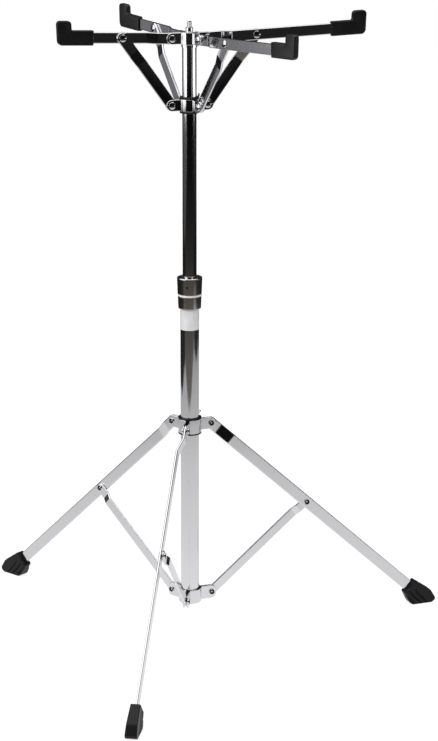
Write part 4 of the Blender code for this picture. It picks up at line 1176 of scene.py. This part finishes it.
def glow(name, colour):
    """A flat surface colour for the studio; a list of (distance from the post, colour) fades."""
    material = bpy.data.materials.new(name)
    shader = Shader(material)
    shader.tree.nodes.clear()
    if isinstance(colour, list):
        spot = shader.node("NewGeometry", output="Position")
        away = shader.node(
            "VectorMath", {"operation": "DISTANCE"}, "Value", {0: spot, 1: tuple(AXIS)}
        )
        stops = [(distance / ROOM, tone) for distance, tone in colour]
        colour = shader.node("ValToRGB", {"stops": stops}, Fac=away / ROOM)
    light = shader.node("Emission", Color=colour)
    shader.node("OutputMaterial", output=None, Surface=light)
    return material


def card(name, corners, colour):
    """A flat studio card that only mirrors see."""
    shape = bmesh.new()
    shape.faces.new([shape.verts.new(in_view_frame(*corner)) for corner in corners])
    thing = raw(name, shape)
    thing.data.materials.append(glow(name, colour))
    thing.visible_camera = False
    thing.visible_diffuse = False
    thing.visible_transmission = False
    thing.visible_shadow = False
    return thing


# The studio's mirror image in the tubes and bars: a white sheet under the stand, a brownish
# floor in front of it, tall white panels on both sides, a white panel overhead, dark walls.
ROOM = 7.0
CARD_LIFT = 0.0006
WARM = (1.07, 0.98, 0.88)
COOL = (0.985, 0.99, 1.03)
SHEET_EDGE_LINE = [
    (0.0, -1.14), (0.79, -1.15), (1.27, -0.97), (1.44, -0.40), (1.47, 0.18), (1.32, 0.95),
    (0.60, 1.45), (-0.40, 1.35), (-1.00, 0.78), (-1.24, 0.15), (-1.34, -0.39), (-1.16, -0.86),
    (-0.70, -1.05),
]
SHEET_TONES = [
    (0.0, grey(0.88)), (0.2, grey(0.86)), (0.36, grey(0.79)), (0.55, grey(0.73)),
    (0.77, grey(0.66)), (0.95, grey(0.58)), (1.1, grey(0.50)), (1.2, grey(0.46)),
    (1.36, grey(0.40)), (1.6, grey(0.31)),
]
FLOOR_TONES = [
    (1.0, grey(0.155, WARM)), (1.2, grey(0.128, WARM)), (1.4, grey(0.110, WARM)),
    (1.6, grey(0.079, WARM)), (2.28, grey(0.029, WARM)), (2.56, grey(0.018, WARM)),
    (3.35, grey(0.006)), (4.2, grey(0.002)), (5.1, grey(0.002)), (5.6, grey(0.018)),
]
SIDE_TONES = [(1.3, grey(0.022)), (2.4, grey(0.010)), (3.4, grey(0.014))]
FAR_GREY = grey(0.195, COOL)
LOW_GREY = grey(0.068)
DARK = grey(0.012)
BLACK = grey(0.006)
WHITE = grey(1.5)
BACK_DARK = grey(0.030)
SIDE = 2.55                 # the side walls' distance from the post
BACK = 3.0
CEILING = 3.2
CEILING_EDGE = -2.0         # the white panel overhead starts here, in front of the post


def wall(name, first, second, low, high, colour):
    """An upright card from one floor point to another; low and high are its heights at both."""
    card(name, [(*first, low[0]), (*second, low[1]), (*second, high[1]), (*first, high[0])], colour)


def flat_card(name, left, right, front, back, colour, height=CARD_LIFT):
    card(name, [
        (left, front, height), (right, front, height), (right, back, height), (left, back, height),
    ], colour)


def make_room():
    card("sheet", [(x, y, 2.0 * CARD_LIFT) for x, y in SHEET_EDGE_LINE], SHEET_TONES)
    flat_card("floor_front", -ROOM, ROOM, -ROOM, -0.8, FLOOR_TONES)
    flat_card("floor_back", -ROOM, ROOM, -0.8, BACK, SIDE_TONES)

    ground, top = (0.0, 0.0), (CEILING, CEILING)
    left_front, left_back, left_end = (-SIDE, -2.95), (-SIDE, 0.62), (-SIDE, 1.35)
    right_front, right_back = (SIDE, -1.64), (SIDE, 0.72)
    left_sill, right_sill = (0.165, 0.385), (0.315, 0.35)
    wall("left_wall_base", left_front, left_back, ground, left_sill, LOW_GREY)
    wall("left_panel", left_front, left_back, left_sill, top, WHITE)
    wall("left_wall_grey", left_back, left_end, (0.25, 0.25), top, FAR_GREY)
    wall("left_wall_grey_base", left_back, left_end, ground, (0.25, 0.25), LOW_GREY)
    wall("left_wall_back", left_end, (-SIDE, BACK), ground, top, BACK_DARK)
    wall("right_wall_base", right_front, right_back, ground, right_sill, DARK)
    wall("right_panel", right_front, right_back, right_sill, (0.6, 0.6), WHITE)
    wall("right_wall_top", right_front, right_back, (0.6, 0.6), top, BACK_DARK)
    wall("right_wall_back", right_back, (SIDE, BACK), ground, top, BACK_DARK)
    wall("back_wall", (-SIDE, BACK), (SIDE, BACK), (0.02, 0.02), top, BACK_DARK)

    wall("front_wall", (-ROOM, -ROOM), (ROOM, -ROOM), ground, top, BLACK)
    wall("front_wall_left", (-ROOM, -ROOM), (-ROOM, -2.95), ground, top, BLACK)
    wall("front_wall_right", (ROOM, -ROOM), (ROOM, -1.64), ground, top, BLACK)
    flat_card("ceiling_front", -ROOM, ROOM, -ROOM, CEILING_EDGE, DARK, CEILING)
    flat_card("ceiling_panel", -SIDE, SIDE, CEILING_EDGE, 1.5, WHITE, CEILING)
    flat_card("ceiling_back", -SIDE, SIDE, 1.5, BACK, BACK_DARK, CEILING)


def make_floor():
    """A wide pale floor that keeps the stand's shadow."""
    shape = bmesh.new()
    bmesh.ops.create_grid(shape, x_segments=1, y_segments=1, size=40.0)
    floor = raw("floor", shape)
    finish = Finish("pale_floor", base_color=grey(0.86), roughness=0.9, specular_ior_level=0.0)
    light = finish.node("Emission", Strength=1.18)
    plain = Value(finish.tree, finish.shader.outputs[0])
    blend = finish.node("MixShader", sockets={0: finish.seen() * 0.72, 1: plain, 2: light})
    finish.fill(finish.tree.nodes["Material Output"].inputs["Surface"], blend)
    floor.data.materials.append(finish.material)


def make_world():
    world = bpy.data.worlds.new("studio")
    bpy.context.scene.world = world
    shader = Shader(world)
    plain = shader.node("Background", Color=grey(1.0), Strength=0.62)
    white = shader.node("Background", Color=grey(1.0), Strength=1.0)
    blend = shader.node("MixShader", sockets={0: shader.seen(), 1: plain, 2: white})
    shader.fill(shader.tree.nodes["World Output"].inputs["Surface"], blend)


def make_lamp(name, place, aim, size, watts):
    data = bpy.data.lights.new(name, "AREA")
    data.shape = "RECTANGLE"
    data.size, data.size_y = size
    data.energy = watts
    lamp = bpy.data.objects.new(name, data)
    bpy.context.collection.objects.link(lamp)
    lamp.visible_glossy = False
    spot, target = in_view_frame(*place), in_view_frame(*aim)
    lamp.matrix_world = Matrix.Translation(spot) @ (spot - target).to_track_quat("Z", "Y").to_matrix().to_4x4()


def make_studio():
    make_floor()
    make_room()
    make_world()
    make_lamp("top_softbox", (-0.3, -0.4, 2.6), (0.0, 0.0, 0.4), (1.4, 1.0), 28.0)
    make_lamp("left_softbox", (-2.0, -1.4, 1.9), (0.0, 0.0, 0.5), (0.7, 1.1), 16.0)
    bpy.context.scene.view_settings.view_transform = "Standard"


make_tripod()
make_post()
make_basket()
make_camera()
make_studio()
